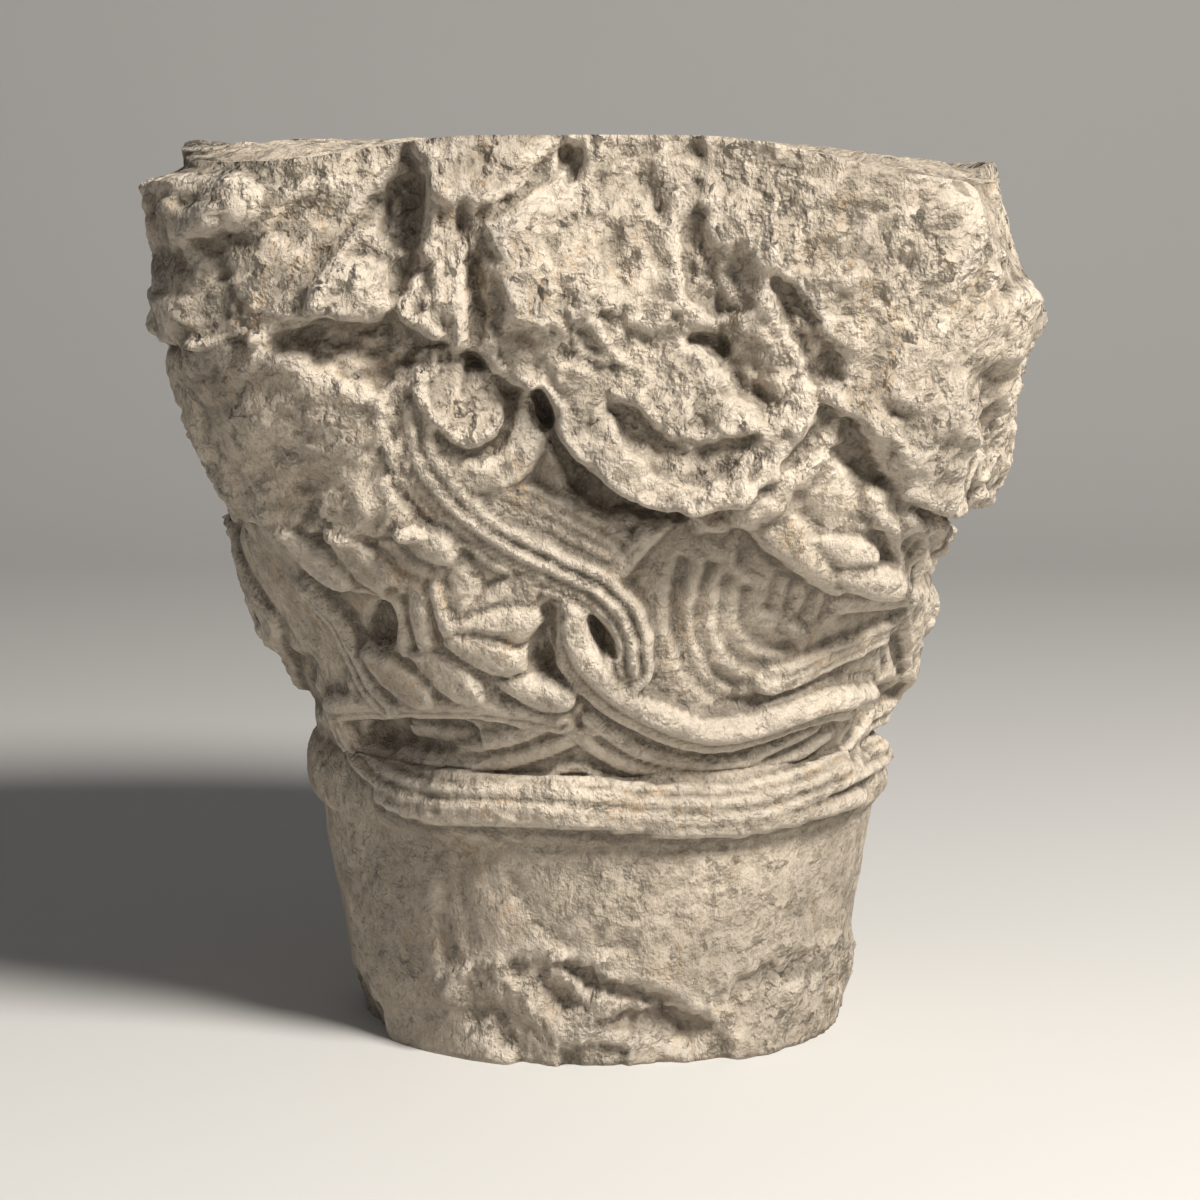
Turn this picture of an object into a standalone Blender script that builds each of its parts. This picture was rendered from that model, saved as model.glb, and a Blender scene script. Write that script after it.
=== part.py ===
"""A worn Romanesque column capital of marble, carved as one block: a plain round neck, a grooved ring,
a round bell with interlaced straps, ribbed fans and lobed leaves, and a broken square top.

Metres, +Z up, origin at the middle of the flat underside. The front face looks along -Y."""

import math

import bmesh
import bpy
import numpy as np

# Driving sizes, in metres
HEIGHT = 0.347
FOOT_RADIUS = 0.0975
NECK_RADIUS = 0.1075
RING_RADIUS = 0.1165
RING_THICKNESS = 0.026
TOP_HALF_WIDTH = 0.161

# Heights along the block, as shares of its height
RING_LEVEL = 0.293
BELL_START = 0.332

# The bell's flare: (share of the height, share of the way from the neck to the top's half width)
FLARE = [
    (0.0, 0.0), (BELL_START, 0.09), (0.38, 0.24), (0.43, 0.39), (0.475, 0.50), (0.52, 0.56),
    (0.565, 0.605), (0.61, 0.655), (0.66, 0.715), (0.72, 0.79), (0.82, 0.90), (0.92, 0.97), (1.0, 0.97),
]
# The plan grows from a circle (2) to a rounded square: (share of the height, exponent of the plan's curve)
SQUARING = [(0.0, 2.0), (0.46, 2.0), (0.54, 2.5), (0.60, 3.2), (0.68, 3.8), (0.82, 4.2), (1.0, 4.2)]
HOLLOWING = 0.05
# How far the worn top edge drops, as shares of the height: at the corners, and towards the right
CORNER_DROP = 0.026
RIGHT_DROP = 0.024
BED_SHARE = 0.82

# The carving's heights and lump sizes are counted in MM. It is a millimetre while the block keeps its height.
MM = HEIGHT / 347.0

# The carving is set out on the reference photograph, 1200 pixels wide, taken from this station point
PIXEL = 0.4 * MM
EYE_DISTANCE = 1250.0 * MM
EYE_HEIGHT = 330.0 * MM
EYE_PITCH = math.radians(7.5)
PHOTO_CENTRE = (598.0, 600.0)
FOCAL = EYE_DISTANCE / PIXEL / math.cos(EYE_PITCH)

# The blank: columns round it, rows up its wall, rows in its top and underside, and what is kept of its faces
COLUMNS = 360
WALL_ROWS = 190
CAP_ROWS = 14
FRONT_CROWDING = 0.4
KEPT_TRIANGLES = 9000

# Straps: route and half width in pixels of the photograph, height in millimetres, and grooves.
# A groove is a share of the half width, from -1 at one edge to 1 at the other.
STRAPS = [
    ("pocket rib lower", [(404, 758), (450, 765), (500, 761), (545, 748), (590, 728)], 9, 3.0, []),
    ("pocket rib upper", [(410, 738), (450, 743), (500, 738), (545, 722), (574, 704)], 9, 3.6, []),
    ("under rib lower", [(566, 722), (600, 748), (640, 767), (690, 778), (740, 775), (785, 758), (826, 730)],
     9, 3.0, []),
    ("under rib upper", [(590, 716), (625, 741), (662, 756), (705, 762), (745, 757), (782, 739), (812, 722)],
     8, 3.8, []),
    ("small peak", [(545, 784), (562, 770), (582, 766), (600, 780)], 5, 2.4, []),
    ("notch rib high", [(540, 500), (576, 514), (606, 534)], 9, 2.8, []),
    ("notch rib mid", [(516, 504), (562, 525), (606, 552)], 9, 3.6, []),
    ("notch rib low", [(498, 514), (556, 541), (604, 571)], 9, 4.4, []),
    ("notch arm", [(606, 582), (640, 543), (663, 516), (680, 494)], 10, 4.5, []),
    ("ring band low", [(384, 796), (430, 812), (500, 815), (560, 817), (620, 821), (680, 827), (740, 825),
                       (790, 815), (832, 803), (858, 796)], 9, 4.6, []),
    ("ring band high", [(346, 722), (366, 752), (398, 778), (445, 791), (520, 794), (600, 798), (680, 804),
                        (740, 801), (790, 789), (838, 770), (884, 748)], 17, 6.6, [-0.5, 0.25]),
    ("medallion foot", [(340, 704), (380, 702), (430, 702), (480, 703), (520, 708), (560, 716)],
     15, 6.0, [0.4]),
    ("left stem", [(316, 586), (342, 612), (361, 648), (378, 680), (396, 700)], 13, 8.0, [0.1]),
    ("right roll back", [(780, 474), (787, 492), (800, 512)], 17, 8.0, []),
    ("right roll high", [(812, 470), (826, 494), (844, 522)], 24, 9.5, []),
    ("right roll long", [(750, 500), (776, 523), (806, 546), (834, 568)], 23, 11.0, []),
    ("right band", [(843, 603), (887, 598), (925, 590)], 12, 3.0, []),
    ("right scroll", [(950, 572), (897, 620), (843, 647), (800, 668), (770, 680)], 15, 5.0, [-0.3, 0.35]),
    ("right knot", [(912, 600), (912, 645), (905, 685), (885, 712), (858, 735), (846, 762)], 17, 6.0, [0.1]),
    ("small yoke", [(414, 380), (416, 420), (436, 454), (478, 474), (512, 462), (530, 432), (538, 398)],
     17, 5.5, []),
    ("upper strap", [(408, 400), (420, 455), (452, 502), (500, 540), (550, 566), (597, 590), (624, 622),
                     (630, 664)], 22, 9.0, [-0.42, 0.22, 0.6]),
    ("lower hook", [(567, 616), (571, 640), (588, 668), (622, 698), (665, 719), (705, 730), (745, 726),
                    (785, 711), (820, 699), (856, 697)], 20, 9.5, [0.3, 0.65]),
]

# Leaves: root, tip and width in pixels of the photograph, and height in millimetres
LEAVES = [
    ("left spray 3", (384, 536), (450, 570), 36, 6.5),
    ("left spray 2", (335, 522), (404, 584), 46, 8.0),
    ("left spray 1", (290, 520), (361, 578), 44, 9.0),
    ("left spray 4", (402, 520), (459, 552), 34, 9.5),
    ("palmette stem left", (398, 574), (414, 650), 24, 6.0),
    ("palmette stem middle", (418, 564), (436, 654), 26, 7.0),
    ("palmette stem right", (436, 562), (462, 644), 24, 7.5),
    ("palmette petal up", (476, 622), (460, 560), 38, 5.5),
    ("palmette petal over", (472, 614), (540, 576), 38, 5.0),
    ("palmette petal out", (462, 624), (545, 617), 42, 7.5),
    ("palmette petal low", (450, 632), (529, 659), 43, 8.0),
    ("palmette petal foot", (418, 644), (490, 690), 48, 7.5),
    ("palmette petal back", (370, 642), (442, 696), 48, 7.5),
    ("bud", (502, 674), (578, 694), 38, 8.0),
    ("right roll middle", (812, 526), (864, 552), 40, 13.0),
    ("right roll end", (826, 556), (884, 570), 46, 15.0),
]

# Grooves, cracks and scars: route and half width in pixels of the photograph, and depth in millimetres
CUTS = [
    ("fan groove 1", [(684, 552), (677, 580), (674, 625), (691, 674), (726, 704), (760, 712)], 5, 3.6),
    ("fan groove 2", [(712, 556), (704, 590), (699, 630), (716, 676), (750, 694)], 5, 3.6),
    ("fan groove 3", [(730, 570), (723, 600), (724, 638), (744, 664), (780, 672)], 5, 3.4),
    ("fan groove 4", [(747, 582), (742, 606), (746, 632), (768, 648), (800, 650)], 5, 3.2),
    ("fan spoke 1", [(778, 568), (766, 612)], 4, 2.0),
    ("fan spoke 2", [(796, 566), (784, 614)], 4, 2.0),
    ("fan spoke 3", [(815, 570), (803, 618)], 4, 2.0),
    ("fan spoke 4", [(834, 576), (822, 620)], 4, 2.0),
    ("fan arch", [(700, 520), (715, 510), (735, 512), (742, 530), (740, 555), (736, 570)], 4, 2.0),
    ("flute 1", [(886, 622), (884, 676)], 4, 2.2),
    ("flute 2", [(900, 618), (898, 670)], 4, 2.2),
    ("boss crack", [(700, 176), (697, 200), (686, 220), (682, 244)], 5, 3.5),
    ("recess crack", [(716, 384), (742, 392), (765, 406)], 4, 2.5),
    ("recess fold", [(724, 256), (738, 300), (700, 345)], 4, 2.0),
    ("slot over the oval", [(440, 338), (470, 352), (492, 374), (520, 396)], 4, 4.0),
    ("slash 1", [(590, 288), (604, 316)], 3, 1.6),
    ("slash 2", [(606, 286), (616, 308)], 3, 1.4),
    ("slash 3", [(644, 384), (656, 404)], 3, 1.6),
    ("neck scar", [(436, 846), (446, 884), (440, 930), (450, 980)], 7, 1.8),
    ("neck scar right", [(466, 850), (460, 900), (470, 950)], 6, 1.4),
    ("neck crack left", [(507, 867), (518, 894), (549, 936), (576, 950)], 5, 2.0),
    ("neck crack", [(597, 926), (601, 944), (642, 952)], 5, 2.0),
    ("right foot edge", [(728, 1003), (750, 984), (778, 976), (831, 966)], 5, 3.0),
]

# Masses and hollows: outline in pixels of the photograph, height in millimetres (negative cuts in), how much
# the height grows over 100 pixels to the right and down, the width of the edge in pixels, and how broken the
# stone is there, from 0 to 1
MASSES = [
    ("fascia", [(60, 100), (60, 150), (165, 170), (240, 176), (280, 186), (330, 176), (372, 178), (374, 100)],
     -3.0, (2.0, 0), 9, 0.3),
    ("left face", [(60, 350), (170, 346), (262, 332), (317, 358), (397, 392), (412, 440), (430, 478),
                   (440, 526), (360, 530), (290, 522), (228, 512), (160, 460), (60, 400)],
     6.0, (1.0, -3.0), 14, 0.6),
    ("left limb low", [(60, 392), (150, 400), (196, 430), (232, 470), (262, 520), (60, 560)],
     -5.0, (6.0, -3.0), 30, 0.9),
    ("left shoulder", [(60, 180), (152, 184), (200, 172), (259, 179), (266, 219), (226, 244), (250, 300),
                       (256, 324), (215, 336), (60, 345)], 8.0, (-5.0, -1.0), 10, 1.0),
    ("shoulder fold", [(148, 262), (200, 246), (226, 236), (234, 262), (258, 318), (219, 326), (200, 290)],
     -2.5, (-9.0, 6.0), 8, 1.0),
    ("left slope", [(223, 237), (280, 232), (321, 254), (326, 306), (299, 326), (254, 330), (232, 263)],
     3.0, (6.0, 8.0), 12, 1.0),
    ("recess fan", [(281, 219), (326, 190), (361, 214), (366, 232), (339, 254), (299, 241)],
     -4.0, (8.0, 9.0), 9, 1.0),
    ("left recess", [(343, 237), (370, 228), (397, 250), (417, 241), (421, 188), (397, 178), (372, 196)],
     -8.0, (-4.0, 5.0), 10, 0.5),
    ("left top chip", [(60, 60), (176, 60), (166, 168), (150, 180), (140, 222), (60, 230)],
     -12.0, (0, 0), 22, 0.9),
    ("under the recess", [(397, 262), (428, 259), (424, 308), (397, 299)], -6.0, (0, 0), 8, 0.8),
    ("ball", [(321, 277), (343, 257), (374, 257), (394, 286), (392, 310), (361, 318), (326, 308)],
     10.0, (-6.0, 4.0), 9, 1.0),
    ("ball hollow", [(290, 318), (322, 318), (362, 326), (396, 322), (400, 344), (372, 356), (330, 344),
                     (296, 334)], -5.0, (0, 0), 9, 1.0),
    ("upper mass", [(428, 176), (424, 60), (1200, 60), (1200, 420), (1005, 450), (978, 486), (962, 508),
                    (945, 510), (893, 491), (871, 463), (860, 433), (838, 408), (815, 400), (790, 432),
                    (768, 462), (735, 490), (690, 503), (640, 499), (592, 474), (562, 440), (546, 392),
                    (508, 380), (472, 350), (441, 338), (408, 322), (398, 294), (420, 262)],
     10.0, (0, 0), 8, 0.9),
    ("top remnant", [(430, 100), (426, 172), (440, 200), (490, 200), (524, 182), (552, 152), (560, 100)],
     -1.0, (-4.0, 12.0), 8, 1.0),
    ("boss crown", [(492, 214), (556, 196), (640, 190), (680, 240), (690, 300), (640, 330), (560, 330),
                    (505, 310)], 5.0, (-3.0, 3.0), 26, 0.9),
    ("boss left side", [(436, 214), (486, 216), (500, 250), (494, 340), (450, 334), (430, 300)],
     -4.0, (9.0, 0), 10, 0.9),
    ("left ridge", [(446, 262), (460, 262), (464, 340), (450, 342)], 3.0, (0, 0), 6, 0.8),
    ("left groove", [(466, 262), (480, 258), (484, 300), (482, 340), (470, 338)], -4.0, (0, 0), 6, 0.8),
    ("boss facet", [(599, 313), (621, 313), (671, 352), (693, 408), (665, 402), (632, 363)],
     -2.5, (9.0, 6.0), 7, 0.8),
    ("pendant hollow", [(610, 402), (643, 408), (665, 430), (700, 436), (754, 426), (727, 463), (671, 474),
                        (632, 445)], -5.0, (0.0, 6.0), 8, 0.5),
    ("yoke", [(546, 388), (570, 400), (610, 440), (655, 468), (700, 474), (742, 458), (770, 440), (768, 462),
              (735, 490), (690, 503), (640, 499), (592, 474), (562, 440)], 4.0, (0, 0), 12, 0.6),
    ("right facet upper", [(685, 241), (699, 205), (743, 222), (774, 247), (774, 272), (732, 313),
                           (693, 297)], -3.0, (10.0, -6.0), 7, 0.9),
    ("right facet lower", [(721, 319), (771, 288), (785, 319), (799, 369), (782, 397), (743, 391),
                           (721, 363), (691, 336)], -4.0, (8.0, -8.0), 7, 1.0),
    ("right rift", [(774, 277), (799, 286), (816, 313), (835, 349), (832, 372), (804, 376), (791, 347),
                    (782, 313)], -9.0, (8.0, 0), 6, 1.0),
    ("right recess cut", [(691, 333), (721, 336), (727, 352), (710, 352)], -7.0, (0, 0), 5, 1.0),
    ("right ramp", [(827, 380), (838, 408), (806, 424), (777, 448), (750, 466), (742, 458), (777, 420),
                    (799, 398)], -3.0, (9.0, -6.0), 7, 1.0),
    ("right top chip", [(925, 60), (936, 150), (968, 215), (995, 280), (1200, 300), (1200, 60)],
     -18.0, (-4.0, 16.0), 40, 1.0),
    ("right limb", [(975, 345), (1200, 330), (1200, 580), (930, 580), (950, 500), (965, 430)],
     -10.0, (0, -4.0), 44, 1.0),
    ("right flank", [(890, 525), (905, 600), (895, 665), (1100, 665), (1100, 525)], -5.0, (0, 0), 24, 0.3),
    ("right low flank", [(860, 690), (850, 730), (852, 762), (1000, 765), (1000, 690)],
     -6.0, (0, 0), 20, 0.3),
    ("left low flank", [(60, 640), (290, 650), (312, 690), (306, 716), (60, 730)], -6.0, (0, 0), 16, 0.3),
    ("right cluster back", [(862, 486), (882, 476), (908, 504), (944, 520), (966, 530), (952, 560),
                            (926, 580), (902, 592), (890, 580), (884, 546), (866, 514)],
     8.0, (4.0, -4.0), 8, 0.5),
    ("boss crevice", [(478, 210), (500, 200), (524, 184), (550, 150), (572, 150), (560, 176), (534, 190),
                      (514, 206), (490, 218)], -5.0, (0, 0), 7, 1.0),
    ("crevice wedge", [(560, 150), (582, 152), (574, 180), (562, 174)], -6.0, (0, 0), 5, 1.0),
    ("left oval", [(414, 352), (441, 343), (472, 362), (502, 392), (504, 423), (481, 444), (450, 437),
                   (424, 400)], 5.0, (-2.0, 3.0), 7, 1.0),
    ("boss slot", [(529, 396), (540, 384), (552, 402), (560, 432), (548, 442), (534, 422)],
     -12.0, (0, 0), 7, 0.0),
    ("yoke shadow", [(556, 446), (575, 465), (600, 484), (632, 502), (668, 512), (676, 519), (640, 518),
                     (600, 508), (580, 497), (566, 474)], -6.0, (0, 0), 8, 0.0),
    ("hook pocket", [(590, 612), (602, 622), (614, 640), (614, 652), (604, 648), (592, 628)],
     -8.0, (0, 0), 5, 0.0),
    ("palmette hollow", [(372, 615), (385, 598), (400, 605), (401, 636), (386, 642), (374, 634)],
     -5.0, (0, 0), 6, 0.0),
    ("stem pocket", [(545, 605), (556, 606), (556, 660), (535, 664), (528, 652)], -6.0, (0, 0), 7, 0.0),
    ("low pocket", [(366, 726), (400, 718), (455, 724), (482, 742), (440, 752), (400, 752), (378, 745)],
     -7.0, (0, 0), 9, 0.0),
    ("fan pit", [(778, 622), (800, 618), (812, 628), (800, 638), (780, 636)], -3.5, (0, 0), 6, 1.0),
    ("foot break", [(430, 985), (470, 965), (560, 955), (600, 972), (640, 996), (684, 1008), (716, 1030),
                    (734, 1056), (705, 1110), (560, 1110), (500, 1044), (456, 1012)],
     -3.5, (0, -3.0), 9, 1.0),
    ("foot pocket high", [(556, 962), (600, 972), (650, 992), (688, 1004), (650, 1010), (600, 994),
                          (566, 978)], -6.0, (0, 0), 7, 1.0),
    ("foot pocket middle", [(596, 1026), (650, 1014), (702, 1018), (712, 1036), (670, 1044), (630, 1036)],
     -6.0, (0, 0), 7, 1.0),
    ("foot pocket low", [(560, 1054), (600, 1044), (630, 1058), (610, 1090), (570, 1090)],
     -5.0, (0, 0), 6, 1.0),
    ("foot chip left", [(300, 958), (356, 975), (372, 1000), (384, 1030), (370, 1060), (300, 1060)],
     -6.0, (0, 0), 12, 1.0),
    ("right foot wear", [(700, 1000), (800, 940), (1000, 930), (1000, 1100), (740, 1100)],
     -1.0, (0, 0), 30, 0.8),
]

# The plain sides and back: two strands weave round the bell, with a leaf in each eye between them
WEAVE_ARC = (66.0, 294.0)
WEAVE_LEVEL = 0.475
WEAVE_RISE = 0.085
WEAVE_EYES = 5
WEAVE_HALF_WIDTH = 7.5 * MM
WEAVE_HEIGHT = 6.0 * MM
EYE_LEAVES = [(-62, 0.75), (62, 0.75), (-32, 0.95), (32, 0.95), (0, 1.05)]
EYE_LEAF_HEIGHT = 4.5 * MM
CORNER_MASS = 8.0 * MM
FACE_BOSS = 10.0 * MM

# Half the width of a groove in a strap
GROOVE_WIDTH = 1.35 * MM

# Across which the stone swells, breaks, chips and splinters
BROAD_SWELL = 34.0 * MM
SMALL_SWELL = 13.0 * MM
RAGGED_EDGE = 10.0 * MM
LARGE_FACE = 34.0 * MM
LARGE_CREST = 26.0 * MM
CHIP = 12.0 * MM
CHIP_CREST = 10.0 * MM


def blend(value, low, high):
    """0 below low, 1 above high, and a smooth rise between them."""
    share = np.clip((value - low) / (high - low), 0.0, 1.0)
    return share * share * (3.0 - 2.0 * share)


def read_curve(points, at):
    """A smooth curve through (where, value) points, read at an array of places."""
    xs = np.array([p[0] for p in points])
    ys = np.array([p[1] for p in points])
    rise = np.diff(ys) / np.diff(xs)
    inner = np.where(rise[:-1] * rise[1:] > 0, rise[:-1] * rise[1:] / (rise[:-1] + rise[1:] + 1e-12), 0)
    slopes = np.concatenate([rise[:1], 2 * inner, rise[-1:]])
    at = np.clip(at, xs[0], xs[-1])
    k = np.clip(np.searchsorted(xs, at, side="right") - 1, 0, len(xs) - 2)
    step = xs[k + 1] - xs[k]
    t = (at - xs[k]) / step
    return (
        (2 * t**3 - 3 * t**2 + 1) * ys[k]
        + (t**3 - 2 * t**2 + t) * step * slopes[k]
        + (3 * t**2 - 2 * t**3) * ys[k + 1]
        + (t**3 - t**2) * step * slopes[k + 1]
    )


def smooth_route(points, closed=False, steps=10):
    """Catmull-Rom samples through a route's points."""
    pts = np.array(points, float)
    if closed:
        pts = np.vstack([pts[-1], pts, pts[0], pts[1]])
    else:
        pts = np.vstack([2 * pts[0] - pts[1], pts, 2 * pts[-1] - pts[-2]])
    samples = []
    t = np.linspace(0, 1, steps, endpoint=False)[:, None]
    for a, b, c, d in zip(pts[:-3], pts[1:-2], pts[2:-1], pts[3:]):
        samples.append(
            0.5 * (2 * b + (c - a) * t + (2 * a - 5 * b + 4 * c - d) * t**2 + (3 * b - a - 3 * c + d) * t**3)
        )
    if not closed:
        samples.append(pts[-2][None])
    return np.vstack(samples)


def scatter(cells, salt):
    """A number from 0 to 1 for each whole-numbered cell, the same every time."""
    mixed = np.sin(cells @ np.array([127.1, 311.7, 74.7]) + 19.19 * salt) * 43758.5453
    return mixed - np.floor(mixed)


def lumps(places, size, salt=0):
    """Smooth noise from about -1 to 1 whose lumps are about this size."""
    q = places / size
    cell = np.floor(q)
    t = q - cell
    fade = t * t * t * (t * (t * 6 - 15) + 10)
    total = np.zeros(len(q))
    for corner in np.ndindex(2, 2, 2):
        corner = np.array(corner, float)
        weight = np.prod(np.where(corner > 0, fade, 1 - fade), axis=-1)
        slope = np.stack([scatter(cell + corner, salt + k) for k in range(3)], -1) * 2 - 1
        total += weight * (slope * (t - corner)).sum(-1)
    return 1.6 * total


def facets(places, size, salt=0):
    """Broken stone: flat faces at odd tilts that meet in creases, each about this size across."""
    q = places / size
    cell = np.floor(q)
    out = np.full(len(q), -np.inf)
    for step in np.ndindex(3, 3, 3):
        here = cell + np.array(step) - 1.0
        away = q - here - np.stack([scatter(here, salt + k) for k in range(3)], -1)
        tilt = np.stack([scatter(here, salt + 3 + k) for k in range(3)], -1) * 2 - 1
        level = 0.7 * (away * tilt).sum(-1) + 0.6 * scatter(here, salt + 6)
        out = np.maximum(out, level - 0.9 * np.sqrt((away**2).sum(-1)))
    return out


def stretched(places, direction, factor):
    """Places drawn together along a direction, so that noise read there is long that way."""
    direction = np.array(direction) / np.linalg.norm(direction)
    return places - np.outer(places @ direction, direction) * (1 - 1 / factor)


def wall_radius(angle, height):
    """Distance from the axis to the uncarved wall. Angle 0 is the front, in radians."""
    share = height / HEIGHT
    half_width = NECK_RADIUS + (TOP_HALF_WIDTH - NECK_RADIUS) * read_curve(FLARE, share)
    half_width = half_width - (NECK_RADIUS - FOOT_RADIUS) * blend(RING_LEVEL - share, 0.0, RING_LEVEL)
    across = (share - RING_LEVEL) * HEIGHT / (RING_THICKNESS / 2)
    ring = np.sqrt(np.clip(1.0 - across**2, 0.0, 1.0))
    half_width = half_width + np.clip(RING_RADIUS - half_width, 0.0, None) * ring
    power = read_curve(SQUARING, share)
    plan = (np.abs(np.cos(angle)) ** power + np.abs(np.sin(angle)) ** power) ** (-1.0 / power)
    hollow = 1.0 - HOLLOWING * blend(share, 0.62, 0.9) * np.cos(2 * angle) ** 2
    return half_width * plan * hollow


def wall_point(angle, height):
    """The uncarved wall's place at arrays of angles and heights."""
    r = wall_radius(angle, height)
    return np.stack([r * np.sin(angle), -r * np.cos(angle), height], -1)


def wall_normal(angle, height):
    """The wall's outward direction, from its slopes."""
    small_turn, small_rise = 0.01, 2.0 * MM
    round_it = wall_point(angle + small_turn, height) - wall_point(angle - small_turn, height)
    up_it = wall_point(angle, height + small_rise) - wall_point(angle, height - small_rise)
    normal = np.cross(round_it, up_it)
    return normal / np.linalg.norm(normal, axis=-1, keepdims=True)


def eye_axes():
    """The station point and its right, up and forward directions."""
    forward = np.array([0.0, math.cos(EYE_PITCH), -math.sin(EYE_PITCH)])
    up = np.array([0.0, math.sin(EYE_PITCH), math.cos(EYE_PITCH)])
    return np.array([0.0, -EYE_DISTANCE, EYE_HEIGHT]), np.array([1.0, 0.0, 0.0]), up, forward


def photo_pixel(places):
    """Where places on the stone fall in the photograph."""
    eye, right, up, forward = eye_axes()
    rel = places - eye
    depth = rel @ forward
    return np.stack(
        [PHOTO_CENTRE[0] + FOCAL * (rel @ right) / depth, PHOTO_CENTRE[1] - FOCAL * (rel @ up) / depth], -1
    )


def on_wall(pixels):
    """The wall's places under pixels of the photograph. A pixel beside the stone lands on its edge."""
    eye, right, up, forward = eye_axes()
    px = np.atleast_2d(np.array(pixels, float))
    rays = (
        forward
        + (px[:, :1] - PHOTO_CENTRE[0]) / FOCAL * right
        + (PHOTO_CENTRE[1] - px[:, 1:]) / FOCAL * up
    )
    reach = np.linspace(EYE_DISTANCE - 0.75 * HEIGHT, EYE_DISTANCE + 0.06 * HEIGHT, 281)
    places = eye + rays[:, None, :] * reach[None, :, None]
    angle = np.arctan2(places[..., 0], -places[..., 1])
    height = np.clip(places[..., 2], 0.0, HEIGHT)
    outside = np.hypot(places[..., 0], places[..., 1]) - wall_radius(angle, height)
    hit = outside <= 0
    first = np.where(hit.any(1), hit.argmax(1), outside.argmin(1))
    row = np.arange(len(px))
    return wall_point(angle[row, first], height[row, first])


def signed_distance(points, loop):
    """Distance to a closed loop in the plane, positive inside it."""
    nearest = np.full(len(points), np.inf)
    inside = np.zeros(len(points), bool)
    for a, b in zip(loop, np.roll(loop, -1, axis=0)):
        side = b - a
        t = np.clip(((points - a) @ side) / max(side @ side, 1e-9), 0, 1)
        nearest = np.minimum(nearest, ((points - a - t[:, None] * side) ** 2).sum(-1))
        crosses = (a[1] > points[:, 1]) != (b[1] > points[:, 1])
        rise = side[1] if abs(side[1]) > 1e-9 else 1e-9
        inside ^= crosses & (points[:, 0] < a[0] + (points[:, 1] - a[1]) * side[0] / rise)
    return np.where(inside, 1.0, -1.0) * np.sqrt(nearest)


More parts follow.
